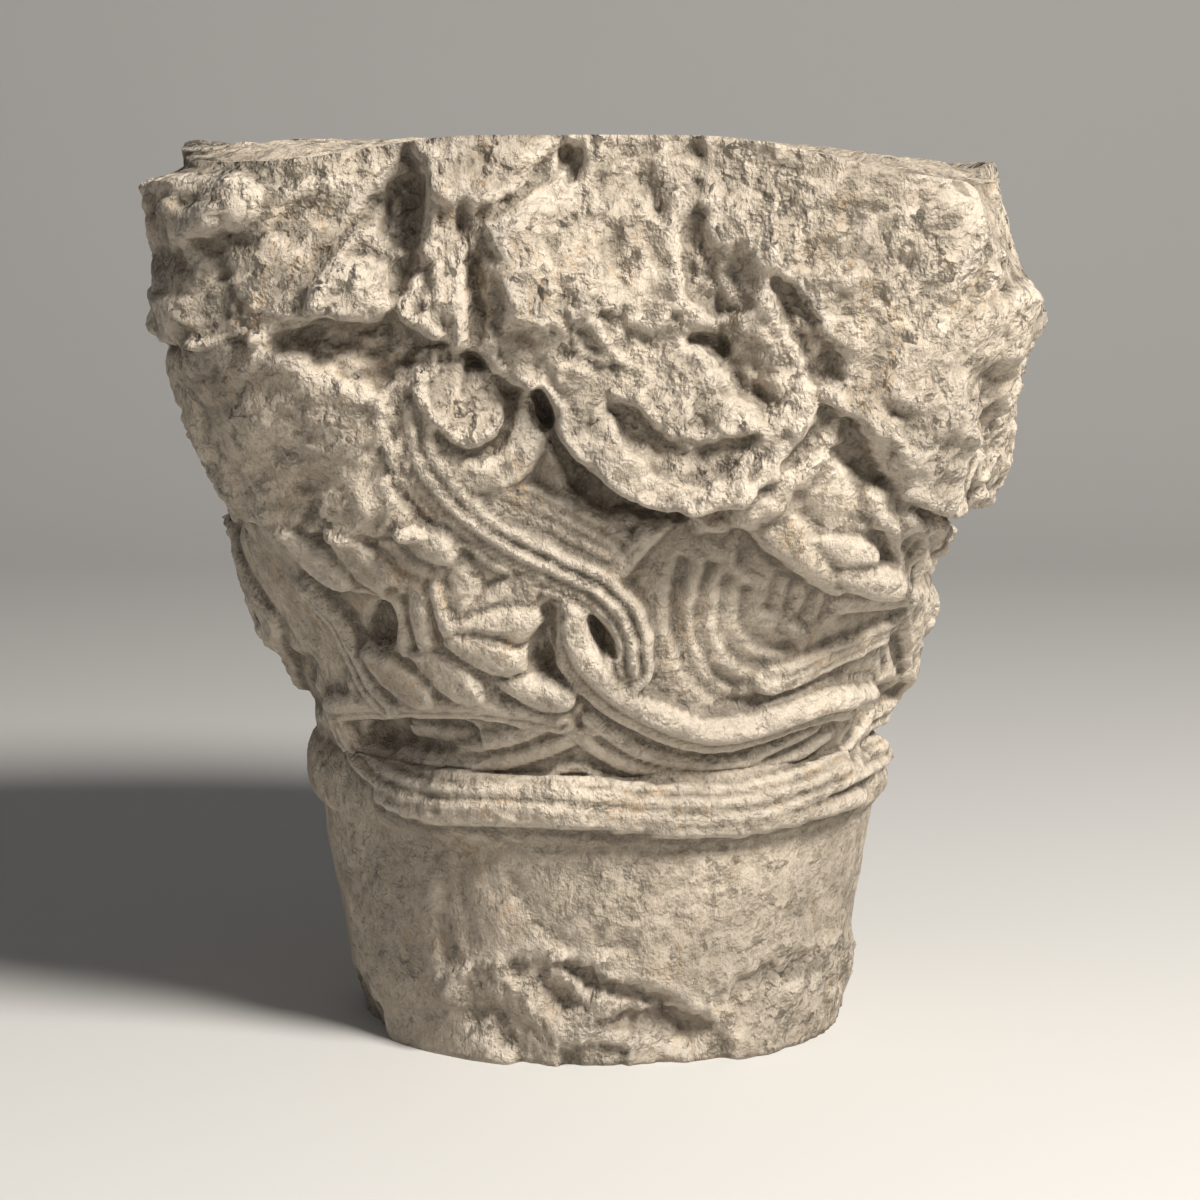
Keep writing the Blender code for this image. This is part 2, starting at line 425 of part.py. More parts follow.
class Stone:
    """The block while it is carved: places on the uncarved wall, and the relief's height over each."""

    def __init__(self, angle, height):
        self.angle = angle
        self.share = height / HEIGHT
        self.places = wall_point(angle, height)
        self.normals = wall_normal(angle, height)
        self.relief = np.zeros(len(angle))
        self.broken = np.zeros(len(angle))
        self.pixels = photo_pixel(self.places)
        self.wobble = lumps(self.places, 7 * MM, 41) + 0.5 * lumps(self.places, 3 * MM, 43)
        sight = eye_axes()[0] - self.places
        sight /= np.linalg.norm(sight, axis=1, keepdims=True)
        self.seen = blend((sight * self.normals).sum(-1), -0.4, -0.05)

    def near(self, path, reach):
        """The points of the wall within reach of a path's box."""
        low, high = path.min(0) - reach, path.max(0) + reach
        return np.flatnonzero(((self.places >= low) & (self.places <= high)).all(1))

    def along(self, path, reach):
        """Which points lie near a path, how far along it they are, and their signed distance to its side."""
        chosen = self.near(path, reach)
        rel = self.places[chosen][:, None, :] - path[None]
        nearest = (rel**2).sum(-1).argmin(1)
        tangent = np.gradient(path, axis=0)
        tangent /= np.linalg.norm(tangent, axis=1, keepdims=True)
        rel = rel[np.arange(len(chosen)), nearest]
        t = tangent[nearest]
        ahead = (rel * t).sum(-1)
        past_end = ((nearest == 0) & (ahead < 0)) | ((nearest == len(path) - 1) & (ahead > 0))
        rel_side = rel - ahead[:, None] * t
        side = (np.cross(t, self.normals[chosen]) * rel_side).sum(-1)
        distance = np.where(past_end, np.linalg.norm(rel, axis=1), np.linalg.norm(rel_side, axis=1))
        return chosen, nearest / (len(path) - 1), np.copysign(distance, side)

    def lay_strap(self, path, half_width, height, grooves, level=0.0):
        """A raised band with rounded edges and grooves that run along it."""
        chosen, share, side = self.along(path, half_width * 1.6)
        q = side / half_width + 0.07 * self.wobble[chosen]
        body = np.sqrt(np.clip(1.0 - np.abs(q) ** 3.2, 0.0, 1.0))
        profile = height * (0.42 + 0.58 * body) * (1 + 0.06 * self.wobble[chosen])
        for groove in grooves:
            profile = profile - 0.42 * height * np.exp(-(((q - groove) * half_width / GROOVE_WIDTH) ** 2))
        mask = 1.0 - blend(np.abs(q), 0.88, 1.08)
        self.relief[chosen] = self.relief[chosen] * (1 - mask) + (level + profile) * mask
        self.broken[chosen] *= 1 - 0.8 * mask

    def lay_leaf(self, root, tip, width, height):
        """A domed lobe between two places, with a full round tip and a sunk line round its edge."""
        length = np.linalg.norm(tip - root)
        chosen = self.near(np.array([root, tip]), width)
        rel = self.places[chosen] - root
        along = (tip - root) / length
        side_way = np.cross(along, self.normals[chosen])
        side_way /= np.linalg.norm(side_way, axis=1, keepdims=True)
        u = (rel @ along) / length
        v = (rel * side_way).sum(-1)
        fullness = np.clip(4 * u * (1 - u), 0.0, 1.0) ** 0.5 * (0.75 + 0.35 * np.clip(u, 0, 1))
        q = np.abs(v) / np.maximum(width / 2 * fullness, 1e-5) + 0.05 * self.wobble[chosen]
        inside = (u > 0) & (u < 1)
        mask = np.where(inside, 1.0 - blend(q, 0.84, 1.04), 0.0)
        edge = np.where(inside, np.exp(-(((q - 1.08) / 0.1) ** 2)), 0.0)
        dome = height * (0.4 + 0.5 * np.sqrt(np.clip(1 - q**3, 0, 1)) + 0.2 * np.clip(u, 0, 1))
        self.relief[chosen] = self.relief[chosen] * (1 - mask) + dome * mask - 1.6 * MM * edge
        self.broken[chosen] *= 1 - 0.7 * mask

    def cut_line(self, path, half_width, depth):
        """A groove with one steep and one soft side."""
        chosen, share, side = self.along(path, half_width * 5)
        side = side + 0.3 * half_width * self.wobble[chosen]
        steep = np.where(side > 0, side / half_width, side / (2.6 * half_width))
        fade = blend(share, 0.0, 0.08) * (1 - blend(share, 0.92, 1.0))
        self.relief[chosen] -= depth * np.exp(-(steep**2)) * fade

    def add_mass(self, outline, height, tilt, edge, brokenness):
        """Raises or sinks what lies inside an outline drawn on the photograph, with a ragged edge."""
        loop = smooth_route(outline, closed=True, steps=6)
        low, high = loop.min(0) - 2 * edge, loop.max(0) + 2 * edge
        inside_box = ((self.pixels >= low) & (self.pixels <= high)).all(1)
        chosen = np.flatnonzero(inside_box & (self.seen > 0))
        ragged = 0.6 * lumps(self.places[chosen], RAGGED_EDGE, 7) + 0.5 * self.wobble[chosen]
        wander = (0.5 * edge + 4 * brokenness) * ragged
        depth_in = signed_distance(self.pixels[chosen], loop) + wander
        mask = blend(depth_in, -0.5 * edge, 0.5 * edge) * self.seen[chosen]
        on_stone = np.clip(loop, 130, 1050)
        reach = np.clip(self.pixels[chosen] - (on_stone.min(0) + on_stone.max(0)) / 2, -150, 150)
        self.lift(chosen, mask, height + reach @ tilt, brokenness)

    def lift(self, chosen, mask, height, brokenness):
        """Adds a height under a mask, and says how broken the stone is there."""
        self.relief[chosen] += height * mask
        self.broken[chosen] = self.broken[chosen] * (1 - mask) + brokenness * mask


def carve_front(stone):
    """Everything that the photograph shows on the front."""
    for _, route, half_width, height, grooves in STRAPS:
        stone.lay_strap(on_wall(smooth_route(route)), half_width * PIXEL, height * MM, grooves)
    for _, root, tip, width, height in LEAVES:
        ends = on_wall([root, tip])
        stone.lay_leaf(ends[0], ends[1], width * PIXEL, height * MM)
    for _, outline, height, tilt, edge, brokenness in MASSES:
        stone.add_mass(outline, height * MM, np.array(tilt) * MM / 100, edge, brokenness)
    for _, route, half_width, depth in CUTS:
        stone.cut_line(on_wall(smooth_route(route)), half_width * PIXEL, depth * MM)


def weave_path(strand):
    """One strand's route round the sides and back, with twelve steps to an eye."""
    along = np.linspace(0, WEAVE_EYES, 12 * WEAVE_EYES + 1)
    turn = np.radians(WEAVE_ARC[0] + (WEAVE_ARC[1] - WEAVE_ARC[0]) * along / WEAVE_EYES)
    swing = np.sin(math.pi * along) * (1 if strand == 0 else -1)
    return wall_point(turn, HEIGHT * (WEAVE_LEVEL + WEAVE_RISE * swing))


def carve_weave(stone):
    """The two strands that weave round the sides and back, each over the other in turn."""
    for strand in (0, 1):
        path = weave_path(strand)
        stone.lay_strap(path, WEAVE_HALF_WIDTH, WEAVE_HEIGHT, [-0.3, 0.3])
    for crossing in range(2, WEAVE_EYES, 2):
        path = weave_path(0)[12 * crossing - 5:12 * crossing + 6]
        stone.lay_strap(path, WEAVE_HALF_WIDTH, 1.15 * WEAVE_HEIGHT, [-0.3, 0.3])


def carve_eyes(stone):
    """A leaf of five lobes in each eye of the weave."""
    for eye in range(WEAVE_EYES):
        turn = math.radians(WEAVE_ARC[0] + (WEAVE_ARC[1] - WEAVE_ARC[0]) * (eye + 0.5) / WEAVE_EYES)
        level = HEIGHT * WEAVE_LEVEL
        reach = HEIGHT * WEAVE_RISE * 0.85
        root_level = level - 0.55 * reach
        root = wall_point(np.array([turn]), np.array([root_level]))[0]
        girth = wall_radius(np.array([turn]), np.array([level]))[0]
        for lean, size in EYE_LEAVES:
            aim = math.radians(lean)
            across = size * reach * math.sin(aim) * 1.3 / girth
            height = root_level + size * reach * math.cos(aim)
            tip = wall_point(np.array([turn + across]), np.array([height]))[0]
            stone.lay_leaf(root, tip, 0.42 * reach, EYE_LEAF_HEIGHT)


def carve_back_top(stone):
    """Broken corner masses over the bell, and a broken boss in the middle of each hidden face."""
    hidden = 1 - stone.seen
    ragged = 0.03 * lumps(stone.places, LARGE_CREST, 11)
    corner = blend(np.sin(2 * stone.angle) ** 2 + 4 * ragged, 0.30, 0.62)
    lower_edge = blend(stone.share + ragged, 0.555, 0.585)
    stone.lift(slice(None), corner * lower_edge * hidden, CORNER_MASS, 0.85)
    boss = blend(np.cos(2 * stone.angle) ** 2 + 4 * ragged, 0.55, 0.85)
    boss_edge = blend(stone.share + ragged, 0.66, 0.72)
    worn_right = blend(stone.share, 0.85, 0.97) * blend(np.sin(stone.angle), 0.3, 0.8)
    boss_edge = boss_edge * (1 - 1.4 * worn_right)
    stone.lift(slice(None), boss * boss_edge * hidden, FACE_BOSS, 0.9)


def warped(places, size, reach, salt):
    """Places pushed about by smooth noise, so that what is read there has no straight edges."""
    return places + reach * np.stack([lumps(places, size, salt + 5 * k) for k in range(3)], -1)


def streaked(places):
    """Places drawn out along the stone's splitting, which leans one way on the left and another elsewhere."""
    steep = stretched(places, (0.42, 0.0, -1.0), 1.8)
    flat = stretched(places, (1.0, 0.0, 0.75), 1.8)
    left = blend(-places[:, 0] / HEIGHT, 0.115, 0.23)[:, None]
    return steep * (1 - left) + flat * left


def crests(places, size, salt):
    """Smooth noise folded up into sharp crests, from about -1 to 1."""
    return 1.0 - 2.6 * np.abs(lumps(places, size, salt))


def large_breaks(places):
    """The big tilted faces of broken marble."""
    wide = warped(places, 14 * MM, 6 * MM, 61)
    crossing = warped(places, 12 * MM, 5 * MM, 81)
    return (11.0 * facets(wide, LARGE_FACE, 5) + 1.8 * crests(crossing, LARGE_CREST, 15)) * MM


def chips(places):
    """The chips on those faces."""
    streaks = streaked(places)
    rough = 4.8 * facets(warped(streaks, 6 * MM, 2.2 * MM, 71), CHIP, 13)
    return (rough + 1.0 * crests(warped(streaks, 5 * MM, 2 * MM, 91), CHIP_CREST, 33)) * MM


def weather(stone):
    """Swellings over the whole block, and tilted faces and chips where it is broken."""
    top = blend(stone.share, 0.6, 0.75)
    broken = np.maximum(stone.broken, 0.5 * top)
    swell = lumps(stone.places, BROAD_SWELL) * (0.6 + 0.9 * top) + 0.5 * lumps(stone.places, SMALL_SWELL, 3)
    stone.relief += swell * MM + (large_breaks(stone.places) + 0.5 * chips(stone.places)) * broken


def blank():
    """The uncarved block as a turned cylinder of unit radius, with its rows stacked by number."""
    bm = bmesh.new()
    rim = [bm.verts.new((0.0, -1.0, float(row))) for row in range(WALL_ROWS + 1)]
    top = [bm.verts.new((0.0, -1.0 + k / CAP_ROWS, WALL_ROWS)) for k in range(1, CAP_ROWS + 1)]
    foot = [bm.verts.new((0.0, -1.0 + k / CAP_ROWS, 0.0)) for k in range(CAP_ROWS, 0, -1)]
    chain = foot + rim + top
    edges = [bm.edges.new(pair) for pair in zip(chain, chain[1:])]
    bmesh.ops.spin(
        bm, geom=chain + edges, axis=(0, 0, 1), cent=(0, 0, 0), steps=COLUMNS, angle=math.tau, use_merge=True
    )
    bmesh.ops.remove_doubles(bm, verts=bm.verts, dist=1e-4)
    bmesh.ops.recalc_face_normals(bm, faces=bm.faces)
    return bm


def bed_height(angle, share):
    """The top's height at shares of the way from the axis to its edge: flat, and worn down at the edge."""
    reach = share * wall_radius(angle, np.full(len(angle), HEIGHT))
    corner = wall_radius(np.array([math.pi / 4]), np.array([HEIGHT]))[0]
    at_corner = blend(reach / corner, BED_SHARE, 1.0)
    at_right = blend(reach * np.sin(angle) / TOP_HALF_WIDTH, 0.15, 1.0)
    return HEIGHT * (1 - CORNER_DROP * at_corner - RIGHT_DROP * at_right)


def carved_places(turned):
    """Moves the turned blank's points to the carved surface."""
    radius = np.hypot(turned[:, 0], turned[:, 1])
    turn = np.arctan2(turned[:, 0], -turned[:, 1])
    angle = turn - FRONT_CROWDING * np.sin(turn)
    row = turned[:, 2] / WALL_ROWS
    cap = radius < 1 - 1e-4
    top, foot = cap & (row > 0.5), cap & (row < 0.5)
    height = row * bed_height(angle, 1.0)
    worn = bed_height(angle, radius)
    stone = Stone(angle, height)
    carve_weave(stone)
    carve_eyes(stone)
    carve_back_top(stone)
    carve_front(stone)
    weather(stone)
    carved = stone.places + stone.relief[:, None] * stone.normals
    settle = blend(row, 0.0, 0.03)
    carved[:, 2] = np.where(row < 0.5, carved[:, 2] * settle + height * (1 - settle), carved[:, 2])
    carved[:, 2] = np.clip(carved[:, 2], 0.0, HEIGHT)
    carved[cap, :2] *= radius[cap, None]
    edge_pull = radius[top] ** 8
    carved[top, 2] = worn[top] * (1 - edge_pull) + carved[top, 2] * edge_pull
    carved[foot, 2] = 0.0
    return carved


def material():
    """Warm grey-white marble, unpolished."""
    marble = bpy.data.materials.new("marble")
    marble.use_nodes = True
    shader = marble.node_tree.nodes["Principled BSDF"]
    shader.inputs["Base Color"].default_value = (0.52, 0.46, 0.37, 1.0)
    shader.inputs["Roughness"].default_value = 0.85
    shader.inputs["Metallic"].default_value = 0.0
    return marble


def capital():
    """The carved block, with its faces thinned where it is plain."""
    bm = blank()
    mesh = bpy.data.meshes.new("capital")
    bm.to_mesh(mesh)
    bm.free()
    places = np.empty(len(mesh.vertices) * 3)
    mesh.vertices.foreach_get("co", places)
    mesh.vertices.foreach_set("co", carved_places(places.reshape(-1, 3)).ravel())
    mesh.update()
    mesh.materials.append(material())
    mesh.shade_smooth()
    piece = bpy.data.objects.new("capital", mesh)
    bpy.context.scene.collection.objects.link(piece)
    triangles = sum(len(face.vertices) - 2 for face in mesh.polygons)
    thin = piece.modifiers.new("thin", "DECIMATE")
    thin.ratio = min(1.0, KEPT_TRIANGLES / triangles)
    return piece


def main():
    for old in list(bpy.data.objects):
        bpy.data.objects.remove(old)
    capital()


main()
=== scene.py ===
"""The looks of a worn Romanesque capital: one marble block, carved and broken, on a pale studio floor."""

import math

import bmesh
import bpy
import numpy as np
from bpy.props import FloatProperty, FloatVectorProperty, IntProperty, PointerProperty
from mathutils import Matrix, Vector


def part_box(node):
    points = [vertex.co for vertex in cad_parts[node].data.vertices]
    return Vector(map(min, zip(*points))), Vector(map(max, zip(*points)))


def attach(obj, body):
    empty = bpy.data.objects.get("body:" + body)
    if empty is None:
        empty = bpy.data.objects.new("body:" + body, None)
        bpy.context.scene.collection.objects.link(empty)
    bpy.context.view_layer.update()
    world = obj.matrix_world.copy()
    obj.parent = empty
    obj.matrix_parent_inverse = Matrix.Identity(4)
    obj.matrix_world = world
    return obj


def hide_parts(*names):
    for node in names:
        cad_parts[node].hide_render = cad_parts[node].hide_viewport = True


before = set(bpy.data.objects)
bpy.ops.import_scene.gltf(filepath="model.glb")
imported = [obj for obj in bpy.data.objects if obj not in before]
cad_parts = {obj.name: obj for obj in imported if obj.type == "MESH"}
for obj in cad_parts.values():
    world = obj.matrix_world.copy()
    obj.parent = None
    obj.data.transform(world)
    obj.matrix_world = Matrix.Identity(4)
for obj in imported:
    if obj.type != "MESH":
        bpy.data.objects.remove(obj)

bl_info = {
    "name": "Marble capital",
    "version": (1, 0, 0),
    "blender": (4, 5, 0),
    "location": "View3D > Sidebar > Capital",
    "description": "Carves a weathered column capital of marble and sets it on a pale floor",
    "category": "Object",
}

CAD_LOW, CAD_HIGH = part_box("capital")
HEIGHT = CAD_HIGH[2]

# Heights along the block, as shares of its height
RING_LEVEL = 0.293
BELL_START = 0.332

# The bell's flare: (share of the height, share of the way from the neck to the top's half width)
FLARE = [
    (0.0, 0.0), (BELL_START, 0.09), (0.38, 0.24), (0.43, 0.39), (0.475, 0.50), (0.52, 0.56),
    (0.565, 0.605), (0.61, 0.655), (0.66, 0.715), (0.72, 0.79), (0.82, 0.90), (0.92, 0.97), (1.0, 0.97),
]
# The plan grows from a circle (2) to a rounded square: (share of the height, exponent of the plan's curve)
SQUARING = [(0.0, 2.0), (0.46, 2.0), (0.54, 2.5), (0.60, 3.2), (0.68, 3.8), (0.82, 4.2), (1.0, 4.2)]
# How much the top's four faces are hollowed, and over which shares of the height that begins
HOLLOWING = 0.05
HOLLOWED_FROM = (0.62, 0.9)
# How far the worn top edge drops, as shares of the height: at the corners, and towards the right
CORNER_DROP = 0.026
RIGHT_DROP = 0.024
# The share of the way to the corners where that drop begins
BED_SHARE = 0.82

# The carving's heights and lump sizes are counted in MM. It is a millimetre while the block keeps its height.
MM = HEIGHT / 347.0

# The carving is set out on the reference photograph, 1200 pixels wide, taken from this station point
PIXEL = 0.4 * MM
EYE_DISTANCE = 1250.0 * MM
EYE_HEIGHT = 330.0 * MM
EYE_PITCH = math.radians(7.5)
PHOTO_CENTRE = (598.0, 600.0)
PHOTO_SIZE = 1200.0
FOCAL = EYE_DISTANCE / PIXEL / math.cos(EYE_PITCH)
# Where a mass drawn beyond the stone is taken to end, in pixels, and how far from its middle its tilt goes on
STONE_PIXELS = (130, 1050)
TILT_REACH = 150

# How much closer the columns of faces stand at the front than at the sides
FRONT_CROWDING = 0.5
# How strongly the top's rings of faces follow its broken rim: the power of their share of the way to it
RIM_PULL = 20
# Over which shares of the height the carved bell gives way to the broken top
TOP_FROM = (0.6, 0.75)
# How much of a break's roughness the carved faces keep
CARVED_ROUGHNESS = 0.06
# Below these shares of the height the stone is calmer, and its relief no longer moves the foot up or down
CALM_FOOT = 0.05
LEVEL_FOOT = 0.03
# How closely the rows of faces stand: (share of the height, spacing against the closest)
ROW_SPACING = [(0.0, 1.9), (0.24, 1.7), (0.32, 1.0), (0.80, 1.0), (0.9, 1.25), (1.0, 1.3)]

# Straps: route and half width in pixels of the photograph, height in millimetres, and grooves.
# A groove is a share of the half width, from -1 at one edge to 1 at the other.
STRAPS = [
    ("pocket rib lower", [(404, 758), (450, 765), (500, 761), (545, 748), (590, 728)], 9, 3.0, []),
    ("pocket rib upper", [(410, 738), (450, 743), (500, 738), (545, 722), (574, 704)], 9, 3.6, []),
    ("under rib lower", [(566, 722), (600, 748), (640, 767), (690, 778), (740, 775), (785, 758), (826, 730)],
     9, 3.0, []),
    ("under rib upper", [(590, 716), (625, 741), (662, 756), (705, 762), (745, 757), (782, 739), (812, 722)],
     8, 3.8, []),
    ("small peak", [(545, 784), (562, 770), (582, 766), (600, 780)], 5, 2.4, []),
    ("notch panel", [(500, 500), (556, 523), (608, 550)], 26, 4.4, [-0.62, -0.12, 0.38]),
    ("notch arm", [(606, 582), (640, 543), (663, 516), (680, 494)], 10, 4.5, []),
    ("ring band low", [(384, 796), (430, 812), (500, 815), (560, 817), (620, 821), (680, 827), (740, 825),
     (790, 815), (832, 803), (858, 796)],
     9, 4.6, []),
    ("ring band high", [(346, 722), (366, 752), (398, 778), (445, 791), (520, 794), (600, 798), (680, 804),
     (740, 801), (790, 789), (838, 770), (884, 748)],
     17, 6.6, [-0.5, 0.25]),
    ("medallion foot", [(340, 704), (380, 702), (430, 702), (480, 703), (520, 708), (560, 716)],
     15, 6.0, [0.4]),
    ("left stem", [(316, 586), (342, 612), (361, 648), (378, 680), (396, 700)], 13, 8.0, [0.1]),
    ("right roll back", [(780, 474), (787, 492), (800, 512)], 17, 8.0, []),
    ("right roll high", [(812, 470), (826, 494), (844, 522)], 24, 9.5, []),
    ("right roll long", [(750, 500), (776, 523), (806, 546), (834, 568)], 23, 11.0, []),
    ("right band", [(843, 603), (887, 598), (925, 590)], 12, 3.0, []),
    ("right scroll", [(950, 572), (897, 620), (843, 647), (800, 668), (770, 680)], 15, 5.0, [-0.3, 0.35]),
    ("right knot", [(912, 600), (912, 645), (905, 685), (885, 712), (858, 735), (846, 762)], 17, 6.0, [0.1]),
    ("small yoke", [(414, 380), (416, 420), (436, 454), (478, 474), (512, 462), (530, 432), (538, 398)],
     17, 5.5, []),
    ("upper strap", [(408, 400), (420, 455), (452, 502), (500, 540), (550, 566), (597, 590), (624, 622),
     (630, 664)],
     22, 9.0, [-0.42, 0.22, 0.6]),
    ("lower hook", [(567, 616), (571, 640), (588, 668), (622, 698), (665, 719), (705, 730), (745, 726),
     (785, 711), (820, 699), (856, 697)],
     20, 9.5, [0.3, 0.65]),
]

# Leaves: root, tip and width in pixels of the photograph, and height in millimetres
LEAVES = [
    ("left spray 3", (384, 536), (450, 570), 36, 6.5),
    ("left spray 2", (335, 522), (404, 584), 46, 8.0),
    ("left spray 1", (290, 520), (361, 578), 44, 9.0),
    ("left spray 4", (402, 520), (459, 552), 34, 9.5),
    ("palmette stem left", (398, 574), (414, 650), 24, 6.0),
    ("palmette stem middle", (418, 564), (436, 654), 26, 7.0),
    ("palmette stem right", (436, 562), (462, 644), 24, 7.5),
    ("palmette petal up", (476, 622), (460, 560), 38, 5.5),
    ("palmette petal over", (472, 614), (540, 576), 38, 5.0),
    ("palmette petal out", (462, 624), (545, 617), 42, 7.5),
    ("palmette petal low", (450, 632), (529, 659), 43, 8.0),
    ("palmette petal foot", (418, 644), (490, 690), 48, 7.5),
    ("palmette petal back", (370, 642), (442, 696), 48, 7.5),
    ("bud", (502, 674), (578, 694), 38, 8.0),
    ("right roll middle", (812, 526), (864, 552), 40, 13.0),
    ("right roll end", (826, 556), (884, 570), 46, 15.0),
]

# Grooves, cracks and scars: route and half width in pixels of the photograph, and depth in millimetres
CUTS = [
    ("fan groove 1", [(684, 552), (677, 580), (674, 625), (691, 674), (726, 704), (760, 712)], 5, 3.6),
    ("fan groove 2", [(712, 556), (704, 590), (699, 630), (716, 676), (750, 694)], 5, 3.6),
    ("fan groove 3", [(730, 570), (723, 600), (724, 638), (744, 664), (780, 672)], 5, 3.4),
    ("fan groove 4", [(747, 582), (742, 606), (746, 632), (768, 648), (800, 650)], 5, 3.2),
    ("fan spoke 1", [(778, 568), (766, 612)], 4, 2.0),
    ("fan spoke 2", [(796, 566), (784, 614)], 4, 2.0),
    ("fan spoke 3", [(815, 570), (803, 618)], 4, 2.0),
    ("fan spoke 4", [(834, 576), (822, 620)], 4, 2.0),
    ("fan arch", [(700, 520), (715, 510), (735, 512), (742, 530), (740, 555), (736, 570)], 4, 2.0),
    ("flute 1", [(886, 622), (884, 676)], 4, 2.2),
    ("flute 2", [(900, 618), (898, 670)], 4, 2.2),
    ("boss crack", [(700, 176), (697, 200), (686, 220), (682, 244)], 5, 3.5),
    ("recess crack", [(716, 384), (742, 392), (765, 406)], 4, 2.5),
    ("recess fold", [(724, 256), (738, 300), (700, 345)], 4, 2.0),
    ("slot over the oval", [(440, 338), (470, 352), (492, 374), (520, 396)], 4, 4.0),
    ("slash 1", [(590, 288), (604, 316)], 3, 1.6),
    ("slash 2", [(606, 286), (616, 308)], 3, 1.4),
    ("slash 3", [(644, 384), (656, 404)], 3, 1.6),
    ("neck scar", [(436, 846), (446, 884), (440, 930), (450, 980)], 7, 1.8),
    ("neck scar right", [(466, 850), (460, 900), (470, 950)], 6, 1.4),
    ("neck crack left", [(507, 867), (518, 894), (549, 936), (576, 950)], 5, 2.0),
    ("neck crack", [(597, 926), (601, 944), (642, 952)], 5, 2.0),
    ("right foot edge", [(728, 1003), (750, 984), (778, 976), (831, 966)], 5, 3.0),
]

# Low beds that the leaves and rolls stand on: outline in pixels of the photograph, and height in millimetres
BEDS = [
    ("palmette bed", [(392, 566), (470, 552), (544, 572), (552, 624), (532, 672), (490, 696), (420, 704),
     (362, 694), (356, 640), (396, 636)],
     3.2),
    ("spray bed", [(300, 540), (380, 534), (462, 532), (464, 552), (440, 576), (400, 590), (350, 584)], 4.0),
    ("cluster bed", [(740, 486), (780, 466), (850, 466), (890, 540), (886, 590), (820, 584), (760, 540)],
     5.0),
]

